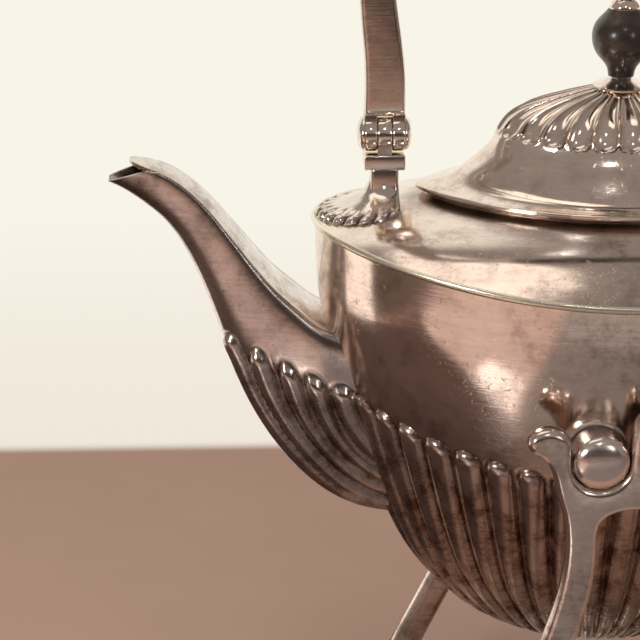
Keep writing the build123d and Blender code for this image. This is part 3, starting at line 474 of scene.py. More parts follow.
def cut_away(points):
    """True in front of the mouth: past the upper lip's rounded plan, or between the two lips."""
    x, y, z = points[..., 0], np.abs(points[..., 1]), points[..., 2]
    lower_lip = parting_z + (x - parting_x) * (parting_z - tip_z) / (parting_x - tip_x)
    upper = z > parting_z + (parting_x - x) * 0.12
    past_plan = ((x - lip_from) / lip_length) ** 2 + (y / lip_half_width) ** 2 > 1
    between_lips = (x < parting_x) & (z > lower_lip) | (x < tip_x + 0.1)
    return np.where(upper, (x < lip_from) & past_plan, between_lips)


def trimmed(skin, rows):
    """Each column cut to the stretch outside the body and behind the mouth, and divided anew into rows."""
    count = len(skin)
    inside_body, ahead = in_body(skin), cut_away(skin)
    start = count - 1 - np.argmax(inside_body[::-1], axis=0)
    end = np.where(ahead.any(0), np.argmax(ahead, axis=0), count - 1)
    at = start + (end - start) * rows[:, None]
    i = np.clip(at.astype(int), 0, count - 2)
    part = (at - i)[..., None]
    column = np.arange(skin.shape[1])[None, :]
    return skin[i, column] * (1 - part) + skin[i + 1, column] * part


whole = spout_skin(1500, 0.0)
middle_line = through([((a + c) / 2, (b + d) / 2) for a, b, c, d, _, _ in spout_stations], 1500)
along = run_along(middle_line)[:, None] + 0 * whole[..., 0]
around = np.cumsum(np.linalg.norm(np.diff(whole, axis=1, prepend=whole[:, -1:]), axis=2), axis=1)
around = around - around[:, keel : keel + 1]
forward, sideways = np.gradient(whole, axis=0), np.roll(whole, -1, 1) - np.roll(whole, 1, 1)
pace = np.linalg.norm(forward, axis=2) / np.gradient(along, axis=0)
lean = (forward * sideways).sum(2) / np.linalg.norm(forward, axis=2) / np.linalg.norm(sideways, axis=2)
fields = np.stack([along, np.abs(around), pace, lean * np.sign(around)], -1)
extended = trimmed(np.concatenate([whole, fields], -1), np.linspace(0, 1, 220))
outer, along, around, pace, lean = extended[..., :3], *np.moveaxis(extended[..., 3:], -1, 0)
# each lobe's middle line as (distance along the spout, distance round from the keel), from its top end down
lobe_lines = [
    [(69.6, 8.8), (65.2, 8.6), (56.7, 8), (51.3, 7.6), (42.5, 6.8), (34.8, 5.9), (20, 4.6), (-6, 3.8)],
    [(56.2, 22.3), (52.7, 20.9), (44.9, 19.4), (38.2, 18.7), (30.1, 17.6), (20.3, 15.2), (14.2, 13.2),
     (-6, 8.4)],
    [(40.8, 35.9), (39.2, 34.7), (34.1, 31.2), (28.4, 28.2), (19.2, 24), (10.5, 19.6), (-6, 14)],
    [(26.4, 46.9), (25, 43.9), (21.6, 37.8), (15.5, 31), (8.4, 25.4), (-6, 19)],
    [(14.2, 52.8), (13.8, 47), (11.8, 40.8), (7.4, 34), (2, 28.6), (-6, 24)],
]
gaps = []
for line in lobe_lines:
    path = through(line, 70)
    for mirror in (1, -1):
        ahead = (along[..., None] - path[:, 0]) * pace[..., None]
        over = around[..., None] - mirror * path[:, 1]
        gap = ahead**2 + over**2 + 2 * ahead * over * lean[..., None]
        gaps.append(np.sqrt(np.maximum(gap.min(2), 0)))
gaps = np.sort(np.stack(gaps), axis=0)
crowd = 2 * gaps[0] / (gaps[0] + gaps[1])
# the line through the lobes' top ends, as the same two distances
end_line = [(73.5, 0), (71.9, 9.0), (58.4, 23.1), (43.2, 37.5), (27.7, 49.7), (13.8, 56.0), (-25.0, 62.0)]
end_along, end_around = np.transpose(end_line)
below = (np.interp(around, end_around, end_along) - along) * pace
off = np.maximum(crowd / 0.99, gaps[0] / (3.8 + 1.5 * step(below, 0.0, 14.0)))
lobe = np.clip(1 - off**2, 0, 1) ** 0.7
field = step(below, 0.0, 11.0)
outline = bell(off - 1.08, 0.20) * (gaps[0] < 7)
relief = lobe * (2.5 + 0.9 * field) - 1.4 * field - 0.18 * outline * (1 - field)
for _ in range(2):
    relief[1:-1] = (relief[:-2] + 2 * relief[1:-1] + relief[2:]) / 4
    relief = eased(relief)
outer = outer + outward(outer, spout_middle) * relief[..., None]
# Painted shade and highlight: the lobes are darkened all along and nearly black between them, and each top
# end is left clean, a painted highlight, in a painted dark ring.
crest = 0.25 + 0.42 * step(below, 2.0, 12.0)
tarnish_and_shade = np.clip(field * (crest * lobe + (1 - lobe)) + outline * (1 - field), 0, 1)
# A light film over the sides that darkens away from the root, painted shade along the keel underneath, and a
# painted reflection, a dark band, on the upper half of each side. The strip along the top is left out.
from_keel = np.abs(np.arange(outer.shape[1]) - keel)[None, :] / half_round
painted_reflection_band = 0.26 * step(from_keel, 0.45, 0.62) * (1 - step(from_keel, 0.86, 0.95))
side_film_and_shade = 0.12 + (0.20 + painted_reflection_band) * step(along, 20, 60) + 0.3 * bell(around, 9.0)
tarnish_and_shade = np.maximum(tarnish_and_shade, side_film_and_shade * (1 - step(from_keel, 0.96, 1.01)))
lips = step(-outer[..., 0], 140, 166) * step(19.0 - outer[..., 2], 0, 6)
tarnish_and_shade = np.maximum(tarnish_and_shade, np.clip(1.4 * lips, 0, 1))
inner_rows = np.linspace(0, 1, 44)
inner = trimmed(spout_skin(1500, spout_wall), inner_rows)
root_wall = 1.26 * (1 - step(inner_rows[:, None, None], 0.45, 0.8))
inner = inner - outward(inner, spout_middle) * root_wall
grid = np.concatenate([outer, inner[::-1]])
mask = np.concatenate([tarnish_and_shade, np.full(inner.shape[:2], 0.8)])
piece("spout_shell", [shell(grid, mask, loop=True)], "kettle", "spout", spout_plate, crease=42)

# ---- Strainer ----
# A pierced plate soldered inside the front wall, where the spout leaves the body. It holds leaves and scale
# back from the spout.


def coat(finish, *nodes):
    """Gives nodes that keep their own plain mesh a finish."""
    for node in nodes:
        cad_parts[node].data.materials.clear()
        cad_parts[node].data.materials.append(finish)


coat(body_plate, "spout_strainer")

# ---- Lid ----
# Raised from one sheet, ogee in section, and chased with 24 hollow flutes that run up to the finial.
# Its thin flange rests on the bezel, rubbed through to the brass along its edge.
lid_plate = plate("lid_plate", (0.99, 0.87, 0.78), (0.62, 0.49, 0.43), (0.16, 0.105, 0.08), 0.55, 0.11)
lid_line = through([
    (10.6, 66.5, 40.0, 1.5), (11.91, 60.5, 35.8, 1.5), (13.99, 54.5, 33.2, 1.4), (17.26, 50.3, 31.0, 1.32),
    (20.26, 46.4, 29.0, 1.25), (24.3, 42.2, 26.3, 1.18), (28.2, 40.0, 24.7, 1.13), (32.55, 37.2, 22.9, 1.1),
    (35.24, 33.9, 20.9, 1.1), (37.35, 29.5, 18.0, 1.1), (40.36, 19.5, 12.6, 1.1), (42.6, 9.97, 8.0, 1.1),
], 900)
lid_arc = run_along(lid_line)
flutes, flute_half, lid_sheet, bore = 24, 0.465, 1.2, 1.7
half_steps = [0.475, 0.45, 0.42, 0.37, 0.29, 0.2, 0.1]
turn, flute_off, flute_pitch = divided(flutes, half_steps, 40.4, 25.0)
flute_start = np.interp(27.4, lid_line[:, 0], lid_arc)
close_from, close_to = flute_start - 1.5, flute_start + 9.0  # the flutes' lower ends have the closest rows
spots = np.concatenate([
    np.linspace(0, close_from, 34)[:-1], np.linspace(close_from, close_to, 26)[:-1],
    np.linspace(close_to, lid_arc[-1], 30),
])[::-1, None]
profile = [np.interp(spots, lid_arc, lid_line[:, k]) for k in range(4)]
x, y = oval(turn + 0 * spots, *profile[1:])
cover = np.stack([x, y, profile[0] + 0 * x], -1)
cover_normal = outward(cover, [0, 0, 5])
above_start = spots - flute_start
reach = flute_half * flute_pitch
from_end = np.hypot(flute_off * flute_pitch, reach - above_start) / reach
off = np.where(above_start < reach, from_end, np.abs(flute_off) / flute_half)
narrow = np.clip(profile[1] / 40.0, 0.12, 1)
hollow = np.clip(1 - off**2, 0, 1) ** 0.72
arris = bell(off - 1.06, 0.09) * step(above_start, -1.0, 1.0)
relief = (0.30 * arris - 1.75 * hollow) * narrow
outer = (cover + cover_normal * relief[..., None])[:-1]
tarnish_and_shade = np.clip(0.55 * hollow * step(off, 0.2, 0.95) + 0.35 * bell(off - 0.93, 0.06), 0, 1)
tarnish_and_shade = tarnish_and_shade * step(above_start, -1.5, 0.5)
edge = oval_rows([(10.6, 66.3, 39.8), (10.35, 66.5, 40.0), (9.65, 66.5, 40.0), (9.4, 66.3, 39.8)], turn)
inner = (cover + cover_normal * (relief - lid_sheet)[..., None])[::2][::-1]
inner = inner[inner[:, :, 2].min(1) > 10.4]
seat = oval_rows([(9.4, 58.9, 32.5)], turn)
bore_low, bore_high = [oval_rows([(z, bore, bore)], turn) for z in (inner[-1, :, 2].mean(), 42.6)]
grid = np.concatenate([bore_high, outer, edge, seat, inner, bore_low])
mask = np.zeros(grid.shape[:2])
mask[1 : 1 + len(outer)] = tarnish_and_shade[:-1]
mask[1 + len(outer) + len(edge) :] = 0.4
piece("lid_dome", [shell(grid, mask, loop=True)], "lid", "lid_shell", lid_plate)

# ---- Lid skirt and hinge ----
# A plain collar inside the bezel keeps the lid in place. Five knuckles, shared between the lid and a leaf on
# the shoulder, turn on one pin at the far side.
coat(lid_plate, "lid_skirt", "lid_hinge_knuckles", "lid_hinge_leaf", "lid_hinge_pin")

# ---- Finial ----
# An ebonised turned knob between a spun base and a small cap. A brass rod through it and a nut inside the lid
# draw it down on the dome.
pearwood = Finish("ebonised_wood", Roughness=0.3, Coat_Roughness=0.12)
grain = pearwood.cloud(160, 4.0, 0.6, stretch=(0.25, 1.0, 1.0), bend=0.4)
pores = pearwood.cloud(1400, 2.0, 0.5, stretch=(0.12, 1.0, 1.0)).between(0.55, 0.7)
ebony = pearwood.blend(grain.between(0.35, 0.7), (0.018, 0.013, 0.011), (0.055, 0.036, 0.026))
pearwood.feed("Base Color", ebony)
pearwood.feed("Roughness", grain * 0.16 + pores * 0.12 + 0.24)
pearwood.feed("Normal", pearwood.bump(grain + pores * 0.5, 0.12, 0.0004))
pearwood.feed("Coat Weight", 0.35 - pores * 0.2)
pearwood = pearwood.material


def lathe(profile, centre=(0, 0, 0), axis="z", columns=48, mask=0.0):
    """A piece turned on a lathe: its (radius, distance) outline carried round an axis through a centre."""
    angle = np.linspace(0, 2 * pi, columns + 1)[None, :-1]
    radius, distance = np.asarray(profile, float).T[:, :, None] + 0 * angle
    across, up = radius * np.cos(angle), radius * np.sin(angle)
    sides = {"z": (across, up, distance), "x": (distance, across, up), "y": (across, distance, up)}
    return shell(np.stack(sides[axis], -1) + np.asarray(centre, float), mask)


def closed(line, core=0.4):
    """A turned outline, carried in at both ends to a thin core, whose ends the skin then fills."""
    return np.vstack([(core, line[0][1]), line, (core, line[-1][1])])


base = [(8.8, 42.6), (9.0, 43.0), (8.9, 43.6), (7.6, 44.4), (5.2, 45.3), (4.1, 46.0), (4.05, 46.6)]
base = lathe(closed(base), columns=64)
piece("finial_foot", [base], "lid", "finial_base", lid_plate)
knob = [(4.2, 46.6), (4.6, 48.8), (8.2, 53.6), (10.0, 58.7), (9.0, 63.8), (6.2, 67.1), (5.0, 68.6)]
knob = lathe(closed(through(knob, 40)), columns=72)
piece("finial_turning", [knob], "lid", "finial_knob", pearwood)
cap = [(5.0, 68.6), (5.0, 69.2), (4.5, 70.4), (2.5, 72.3), (1.3, 72.9), (0.3, 73.6)]
cap = lathe(np.vstack([(0.3, 68.6), through(cap, 22)]))
piece("finial_button", [cap], "lid", "finial_cap", lid_plate)
brass = plate("bare_brass", (0.83, 0.62, 0.30), (0.55, 0.38, 0.17), (0.16, 0.10, 0.05), 0.6, 0.28)
coat(brass, "finial_rod", "finial_nut", "grip_rod")

# ---- Handle lugs ----
# Cast with a trumpet foot whose edge is gadrooned like a row of beads, a plain post and a square block, and
# one knuckle that stands between the handle's two.
handle_plate = plate("handle_plate", (0.92, 0.83, 0.76), (0.54, 0.45, 0.40), (0.12, 0.075, 0.06), 0.55, 0.12)
pivot_x, pivot_z, barrel = 77.0, 27.9, 5.85
foot_rise, reach_out, half_foot, cut_x = 15.7, 21.8, 19.5, 72.2
foot_shares = [
    (1.12, 0.20, 0.18), (1.00, 0.20, 0.18), (0.78, 0.22, 0.21), (0.56, 0.32, 0.32), (0.38, 0.54, 0.54),
    (0.24, 0.78, 0.77), (0.10, 0.97, 0.96), (-0.20, 1.04, 1.04),
]
foot_line = through([(s * foot_rise, r * reach_out, w * half_foot) for s, r, w in foot_shares], 700)
beads, bead_radius = 15, 1.7
fan = np.linspace(-pi / 2, pi / 2, beads * 8 + 1)
foot_level, foot_out, foot_wide = foot_line.T[:, :, None]
limit = np.arcsin(np.clip((cut_x - pivot_x) / foot_out, -1, 0))
spread = fan[None, :] * (pi / 2 - limit) / (pi / 2)
x = pivot_x + foot_out * np.cos(spread)
y = foot_wide * np.sin(spread)
z = foot_level + 0 * x
hit = z < dome_height(np.maximum(x, 0), y) + 0.05
last = np.argmax(hit, axis=0)
at = last[None, :] * (np.linspace(0, 1, 60)[:, None] ** 0.9)
i = np.clip(at.astype(int), 0, len(foot_line) - 2)
part, column = at - i, np.arange(len(fan))[None, :]
foot = np.stack([v[i, column] * (1 - part) + v[i + 1, column] * part for v in (x, y, z)], -1)
straight = np.linspace(0, 1, 14)[None, 1:-1, None]
back = foot[:, -1:] + (foot[:, :1] - foot[:, -1:]) * straight
back[:, :, 0] = cut_x
full = np.concatenate([foot, back], axis=1)
bead_phase = np.concatenate([(fan / pi + 0.5) * beads, np.zeros(back.shape[1])])[None, :]
rise = np.linalg.norm(full - full[-1:], axis=2)
wave = np.abs(np.sin(bead_phase * pi)) ** 0.8
fade = 1 - step(rise, 2.0, 9.0)
ball = np.sqrt(np.clip(1 - (rise / bead_radius - 1) ** 2, 0, 1)) * (rise < 2 * bead_radius)
swell = wave * (0.9 * fade + 0.8 * ball) - 0.6 * fade * (rise > 0.3)
swell *= step(np.minimum(bead_phase, beads - bead_phase), 0, 0.4)
full = full + outward(full, [78, 0, 8]) * swell[..., None]
tarnish_and_shade = np.clip(fade * (1 - wave) * 1.1, 0, 1)
tarnish_and_shade[:, len(fan) :] = 0.2
full = np.concatenate([full, full[-1:] - [0, 0, 0.9]])
tarnish_and_shade = np.concatenate([tarnish_and_shade, np.full((1, full.shape[1]), 0.8)])
lug_foot = shell(full, tarnish_and_shade)


def block(low, high, radius, mask=0.0):
    """Box with every edge rolled to a radius: quarter turns of a small ball, pushed apart to the corners."""
    low, high = np.asarray(low, float), np.asarray(high, float)
    middle, half, corner = (low + high) / 2, (high - low) / 2 - radius, 5
    quarter = np.linspace(0, pi / 2, corner)
    around = (np.arange(4)[:, None] * pi / 2 + quarter).ravel()[None, :]
    side_x = np.repeat([1, -1, -1, 1], corner)[None, :]
    side_y = np.repeat([1, 1, -1, -1], corner)[None, :]
    tilt = np.concatenate([quarter - pi / 2, quarter])[:, None]
    side_z = np.repeat([-1, 1], corner)[:, None]
    x = side_x * half[0] + radius * np.cos(tilt) * np.cos(around)
    y = side_y * half[1] + radius * np.cos(tilt) * np.sin(around)
    z = side_z * half[2] + radius * np.sin(tilt) + 0 * x
    return shell(np.stack([x, y, z], -1) + middle, mask)


def barrel_skin(low, high, radius, ease=0.5):
    """Turned barrel about the handle's pivot with eased ends."""
    eased_end = [(radius - ease, 0.0), (radius - 0.3 * ease, 0.3 * ease), (radius, ease)]
    line = [(r, low + d) for r, d in eased_end] + [(r, high - d) for r, d in eased_end[::-1]]
    return lathe(closed(line, 0.3), (0, 0, pivot_z), "x", 56)


OTHER_END, OTHER_SIDE = [-1, 1, 1], [1, -1, 1]


def mirrored(skin, factors):
    """The same skin at the kettle's other end or on its other side."""
    points, values, quads, fans = skin
    return points * factors, values, quads[:, ::-1], fans[:, ::-1]


def at_both_ends(name, skins, body, node, crease=38):
    """A piece of the handle or its lugs at the rear, and its mirror image in front."""
    for end in ("rear", "front"):
        piece(f"{end}_{name}", skins, body, f"{end}_handle_{node}", handle_plate, crease)
        skins = [mirrored(skin, OTHER_END) for skin in skins]


post = block((cut_x + 0.1, -4.45, 4.0), (81.5, 4.45, 17.4), 1.3)
lug_block = block((70.3, -5.85, 16.7), (83.7, 5.85, 21.7), 0.55, mask=0.1)
lug_knuckle = barrel_skin(74.7, 79.3, 5.65, 0.35)
lug_neck = block((74.7, -4.97, 20.7), (79.3, 4.97, 27.9), 0.3, mask=0.5)
lug = [lug_foot, post, lug_block, lug_knuckle, lug_neck]
at_both_ends("lug", lug, "kettle", "lug", crease=45)

# ---- Handle arms ----
# Cast scrolls with rounded edges, forked at the foot over the lug's knuckle. The two barrels of each fork
# turn on a rivet.


def casting(outline, near_face, far_face, radius, rings=5):
    """Flat casting with rounded edges, from a closed (x, z) outline: rings set in from the edge, joined by
    triangles, each point as high as a quarter circle at its distance from the edge."""
    edge = np.asarray(outline, float)
    ahead = np.roll(edge, -1, axis=0)
    if (edge[:, 0] * ahead[:, 1] - ahead[:, 0] * edge[:, 1]).sum() < 0:
        edge = edge[::-1]
        ahead = np.roll(edge, -1, axis=0)
    run = ahead - np.roll(edge, 1, axis=0)
    inward = np.stack([-run[:, 1], run[:, 0]], -1) / np.linalg.norm(run, axis=1, keepdims=True)

    def depth_of(points):
        span = ahead - edge
        share = ((points[:, None] - edge) * span).sum(2) / np.maximum((span**2).sum(1), 1e-12)
        nearest = edge + np.clip(share, 0, 1)[..., None] * span
        return np.linalg.norm(points[:, None] - nearest, axis=2).min(1)

    inner = []
    for k in range(1, rings + 1):
        inset = radius * (1 - np.cos(k / rings * pi / 2)) * 0.999
        ring = edge + inward * inset
        ring = ring[depth_of(ring) > inset * 0.985]
        inner.append(ring[:: 1 if k < rings else 2])
    points = np.vstack([edge] + inner)
    count = len(edge)
    lines = [(n, (n + 1) % count) for n in range(count)]
    found = geometry.delaunay_2d_cdt([tuple(p) for p in points], lines, [list(range(count))], 1, 1e-7)
    flat, faces = np.array([tuple(v) for v in found[0]]), np.array(found[2])
    depth = np.minimum(depth_of(flat), radius)
    depth[:count] = 0
    rise = np.sqrt(np.maximum(radius**2 - (radius - depth) ** 2, 0))
    middle, half = (near_face + far_face) / 2, abs(far_face - near_face) / 2
    lift = half - radius + rise
    front = np.stack([flat[:, 0], middle - lift, flat[:, 1]], -1)
    rear = np.stack([flat[:, 0], middle + lift, flat[:, 1]], -1)
    points = np.vstack([front, rear])
    total, n = len(flat), np.arange(count)
    m = (n + 1) % count
    quads = np.stack([n, n + total, m + total, m], -1)
    fans = np.vstack([faces, faces[:, ::-1] + total])
    return points, np.zeros(len(points)), *facing_out(points, quads, fans)


outer_line = [(83.7, 34.1), (83.6, 50.1), (85.2, 69.8), (85.4, 90.5), (80.9, 111.2), (66, 126.8), (54, 133.4)]
inner_line = [(54, 122.8), (62.3, 113.6), (72.1, 101.8), (74.6, 85.8), (73.1, 67.9), (70.7, 50.1),
              (70.3, 34.1)]
arm_outline = np.vstack([through(outer_line, 90), through(inner_line, 90)])
arm_half = 3.6
arm = [casting(arm_outline, -arm_half, arm_half, 1.7)]
for low, high in ((70.3, 74.5), (79.5, 83.7)):
    arm.append(barrel_skin(low, high, barrel))
    arm.append(block((low, -arm_half, 28.8), (high, arm_half, 35.0), 0.4, mask=0.3))
at_both_ends("arm", arm, "handle", "arm", crease=45)

# ---- Handle pins ----
# Rivets through the lug's knuckle and the arm's two barrels, their heads domed over at both ends. The handle
# swings on the two of them.
head = [(5.56, 0.0), (5.5, 0.5), (5.15, 1.05), (3.9, 1.8), (2.0, 2.2), (0.2, 2.3)]
inner_end, outer_end, shank = 70.3, 83.7, 1.75
pin = [(r, inner_end - h) for r, h in head[::-1]] + [(shank, 70.25), (shank, 83.75)]
pin += [(r, outer_end + h) for r, h in head]
at_both_ends("rivet", [lathe(pin, (0, 0, pivot_z), "x")], "handle", "pin")

# ---- Grip ----
# Turned ebonised wood, thickest in the middle, held on a brass rod between ferrules, with bone washers that
# keep the heat of the arms from the hand.
grip_axis = (0, 0, 128.1)
grip = through([(6.4, -42), (6.75, -38), (8.2, -24), (9.0, 0), (8.2, 24), (6.75, 38), (6.4, 42)], 50)
grip = lathe(closed(grip), grip_axis, "x", 64)
piece("grip_turning", [grip], "handle", "handle_grip", pearwood)
bone = Finish("bone", Roughness=0.4, Subsurface_Weight=0.1)
streak = bone.cloud(260, 4.0, 0.6, stretch=(0.3, 1.0, 1.0))
canal = bone.cloud(2200, 1.0, 0.5).between(0.62, 0.7)
bone_tone = bone.blend(streak.between(0.3, 0.7), (0.78, 0.70, 0.55), (0.62, 0.50, 0.34))
bone.feed("Base Color", bone.blend(canal, bone_tone, (0.35, 0.25, 0.15)))
bone.feed("Roughness", streak * 0.15 + 0.3)
bone.feed("Normal", bone.bump(streak - canal * 0.5, 0.15, 0.0003))
bone = bone.material
washer = closed([(7.2, 42.0), (7.6, 42.5), (7.6, 44.5), (7.2, 45.0)], 0.5)
washer = lathe(washer, grip_axis, "x", 56)
washers = [washer, mirrored(washer, OTHER_END)]
piece("bone_washers", washers, "handle", "handle_insulators", bone)
ferrule = [(6.6, 45.0), (6.8, 45.4), (7.25, 46.6), (7.2, 47.4), (6.2, 48.6), (5.8, 49.4), (6.0, 51.5),
           (6.4, 53.6), (6.4, 54.0)]
ferrule = lathe(closed(ferrule, 0.5), grip_axis, "x", 56)
ferrules = [ferrule, mirrored(ferrule, OTHER_END)]
piece("grip_ferrules", ferrules, "handle", "handle_ferrules", handle_plate)

# ---- Trunnions ----
# Turned studs, soldered to the wall through a round collar. The kettle hangs by them in the stand's notches
# and tilts on the front pair.
button_plate = plate("button_plate", (0.92, 0.83, 0.77), (0.60, 0.51, 0.46), (0.15, 0.10, 0.08), 0.7, 0.20)
stud = [(0.3, 58.0), (9.4, 58.0), (10.0, 58.6), (10.0, 67.4), (9.75, 68.1), (9.2, 68.5), (8.75, 68.6),
        (8.75, 77.0), (8.55, 77.9), (7.9, 78.8), (6.6, 79.6), (4.6, 80.2), (2.4, 80.52), (0.2, 80.6)]
stud_mask = np.array([0.8, 0.8, 0.6, 0.3, 0.2, 0.5, 0.8, 0.3, 0.1, 0, 0, 0, 0, 0])[:, None]
stud_x, stud_z = 14.5, -56.3
for end, x in (("front", -stud_x), ("rear", stud_x)):
    far = lathe(stud, (x, 0, stud_z), "y", 72, stud_mask)
    studs = [far, mirrored(far, OTHER_SIDE)]
    piece(f"{end}_studs", studs, "kettle", f"{end}_trunnions", button_plate)

# ---- Stand: side frames ----
# Two flat castings with rounded edges. Each has two notches for the studs with a peak between them, a curled
# horn outside each notch, and an arch between two legs that sweep out to the feet.
stand_plate = plate("stand_plate", (0.88, 0.78, 0.71), (0.40, 0.31, 0.265), (0.12, 0.07, 0.055), 0.85, 0.17)
notch, horn_x, horn_z, horn_wide, horn_tall = 9.05, 30.4, -50.0, 6.9, 4.7
waist_in, waist_out, leg_top, leg_drop, leg_run, foot_low = 14.6, 24.2, -82.0, 146.0, 50.1, -228.0
peak_sweep, peak_half, peak_flat = 2 * stud_x - notch, stud_x - notch, 2.2


def swing(x):
    """Height of the circle about the front stud that the rear stud's notch keeps to."""
    return stud_z + np.sqrt(np.maximum(peak_sweep**2 - (x + stud_x) ** 2, 0))


def frame_half(side):
    """Outline of half a side frame from its middle over the notch, horn and leg, and back to the arch."""
    if side > 0:
        run = np.linspace(0, peak_half, 16)
        inner = np.stack([run, swing(run)], -1)
    else:
        run, crest = np.linspace(0, -peak_flat, 8), swing(-peak_flat) - stud_z
        steep = ((peak_flat / peak_half, 1.0), (0.76, 0.82), (0.97, 0.45), (1.0, 0.0))
        steep = through([(a * peak_half, stud_z + b * crest) for a, b in steep], 18)
        inner = np.vstack([np.stack([-run, swing(run)], -1)[:-1], steep])
    angle = np.linspace(pi, 2 * pi, 34)[1:-1]
    cradle = np.stack([stud_x + notch * np.cos(angle), stud_z + notch * np.sin(angle)], -1)
    curl = ((-0.97, -0.3), (-0.80, 0.48), (-0.30, 0.96), (0.38, 0.96), (0.88, 0.48), (0.97, -0.12),
            (0.74, -0.68), (0.32, -1.02))
    horn = [(stud_x + notch, stud_z)]
    horn += [(horn_x + a * horn_wide, horn_z + b * horn_tall) for a, b in curl]
    neck = horn[-1][1] - leg_top
    outer = [horn[-1]]
    for run, share in ((6.1, 0.89), (3.4, 0.58), (1.1, 0.28), (0.0, 0.0)):
        outer.append((waist_out + run, leg_top + share * neck))
    inner_leg = [(waist_in, leg_top)]
    for drop, run in ((0.09, 0.005), (0.23, 0.09), (0.40, 0.245), (0.59, 0.47), (0.775, 0.72), (0.91, 0.90)):
        wide, centre = 9.6 + 3.4 * drop, waist_in + 4.8 + run * leg_run
        outer.append((centre + wide / 2, leg_top - drop * leg_drop))
        inner_leg.append((centre - wide / 2, leg_top - drop * leg_drop))
    outer.append((76.0, foot_low))
    inner_leg.append((63.0, foot_low))
    arch = [(waist_in, leg_top), (0.92 * waist_in, -77.0), (0.63 * waist_in, -73.8), (0.0, -72.8)]
    leg = [through(outer, 90), through(inner_leg[::-1], 80)[:-1]]
    return np.vstack([inner, cradle, through(horn, 60)[:-1], *leg, through(arch, 26)]) * [side, 1]


right, left = frame_half(1), frame_half(-1)
frame_outline = np.vstack([right[1:], left[::-1][1:-1], right[:1]])
keep = np.linalg.norm(frame_outline - np.roll(frame_outline, 1, axis=0), axis=1) > 0.05
far_frame = casting(frame_outline[keep], 71.5, 78.5, 2.5)
for side, skin in (("far", far_frame), ("near", mirrored(far_frame, OTHER_SIDE))):
    piece(f"{side}_frame", [skin], "stand", f"{side}_side_frame", stand_plate, crease=50)

# ---- Stretchers, ring and screws ----
# Two bars tie the frames together low down and carry the ring that the burner drops into. A screw through the
# frame holds each end of a bar.
coat(stand_plate, "front_stretcher", "rear_stretcher", "burner_ring", "frame_screws")

# ---- Feet ----
# Turned bun feet with a short neck and a flat underside, fixed under the ends of the legs. The stand touches
# the table with them alone.
bun = [(7.6, -240), (8.6, -239.7), (10.2, -238.1), (11.0, -235.2), (10.3, -232.4), (8.2, -230.6),
       (6.2, -229.7), (6.6, -228.6), (6.8, -228.0)]
bun = lathe(closed(through(bun, 34), 0.3), (69.5, 75.0, 0))
feet = [bun, mirrored(bun, OTHER_END)]
feet += [mirrored(foot, OTHER_SIDE) for foot in feet]
piece("bun_feet", feet, "stand", "feet", stand_plate)

# ---- Burner ----
# A spun reservoir with a flange that drops into the ring, a collar soldered on top with two ears for the
# snuffer, a wick tube and a plaited cotton wick.
burner_plate = plate("burner_plate", (0.78, 0.70, 0.63), (0.52, 0.40, 0.33), (0.15, 0.09, 0.06), 0.55, 0.17)
tank = [(20.4, -227.1), (28.0, -226.4), (34.5, -222.7), (36.9, -217.5), (37.1, -213.0), (37.1, -207.2)]
dome = [(37.6, -205.6), (34.8, -204.9), (28.2, -200.6), (20.0, -197.2), (17.0, -196.6)]
flange = [(37.2, -207.1), (40.8, -207.1), (41.0, -206.9), (41.0, -205.8), (40.8, -205.6), (38.2, -205.6)]
well = [(11.0, -196.6), (11.0, -198.0), (0.4, -198.0)]
reservoir = np.vstack([(0.4, -227.1), through(tank, 30), flange, through(dome, 24), well])
reservoir = lathe(reservoir, columns=96)
piece("reservoir", [reservoir], "burner", "burner_reservoir", burner_plate)
coat(burner_plate, "burner_collar", "wick_tube", "burner_handle", "snuffer_pin")
cotton = Finish("wick_cotton", Roughness=0.95, Sheen_Weight=0.4)
twist, bands = {"bands_direction": "DIAGONAL"}, {"Scale": 420.0, "Distortion": 2.5, "Detail": 2.0}
plait = cotton.node("ShaderNodeTexWave", twist, out="Fac", Vector=cotton.place, **bands)
fray = cotton.cloud(1800, 3.0)
scorch = cotton.node("ShaderNodeSeparateXYZ", out="Z", Vector=cotton.place).between(0.0550, 0.0582)
wool = cotton.blend(plait * 0.6 + fray * 0.4, (0.78, 0.72, 0.60), (0.55, 0.48, 0.37))
cotton.feed("Base Color", cotton.blend(scorch * 0.85, wool, (0.03, 0.022, 0.018)))
cotton.feed("Normal", cotton.bump(plait + fray * 0.4, 0.6, 0.0006))
coat(cotton.material, "wick")

# ---- Snuffer ----
# A small spun cap with a turned knob, hinged to the collar's ears. It puts the flame out when it drops over
# the wick.
coat(burner_plate, "snuffer_cap")

# ---- Table, backdrop, lamps and camera ----
# A warm table that turns cream behind the kettle, and glows softly from there on and up a far wall. Lamps
# stand left, right, in front, behind and overhead. The metal alone sees the flags and reflectors round it.
room = Finish("room", Roughness=0.75, Specular_IOR_Level=0.0)
cream, table_end = (0.94, 0.905, 0.81), 0.3555
back, up = (room.node("ShaderNodeSeparateXYZ", out=axis, Vector=room.place) for axis in "YZ")
wood = room.blend(room.cloud(14, 3.0), (0.405, 0.272, 0.215), (0.455, 0.308, 0.245))
room.feed("Base Color", room.blend(back.between(0.338, table_end), wood, (0.90, 0.865, 0.78)))
kinds = ("Is Camera Ray", "Is Glossy Ray", "Is Transmission Ray")
direct, mirror, through_glass = [room.node("ShaderNodeLightPath", out=kind) for kind in kinds]
seen = (direct + mirror + through_glass).math("MINIMUM", 1.0)
fall = room.blend(back.between(0.30, 0.86), (0.86, 0.80, 0.70), cream)
fall = room.blend(mirror * up.between(2.3, 3.3), fall, (0.30, 0.25, 0.22))
glow = room.node("ShaderNodeEmission", Color=fall, Strength=1.0)
lit = Reading(room.tree, room.shader.outputs[0])
mixed = room.node("ShaderNodeMixShader", i0=seen * back.between(0.339, table_end), i1=lit, i2=glow)
room.tree.links.new(mixed.socket, room.tree.nodes["Material Output"].inputs["Surface"])


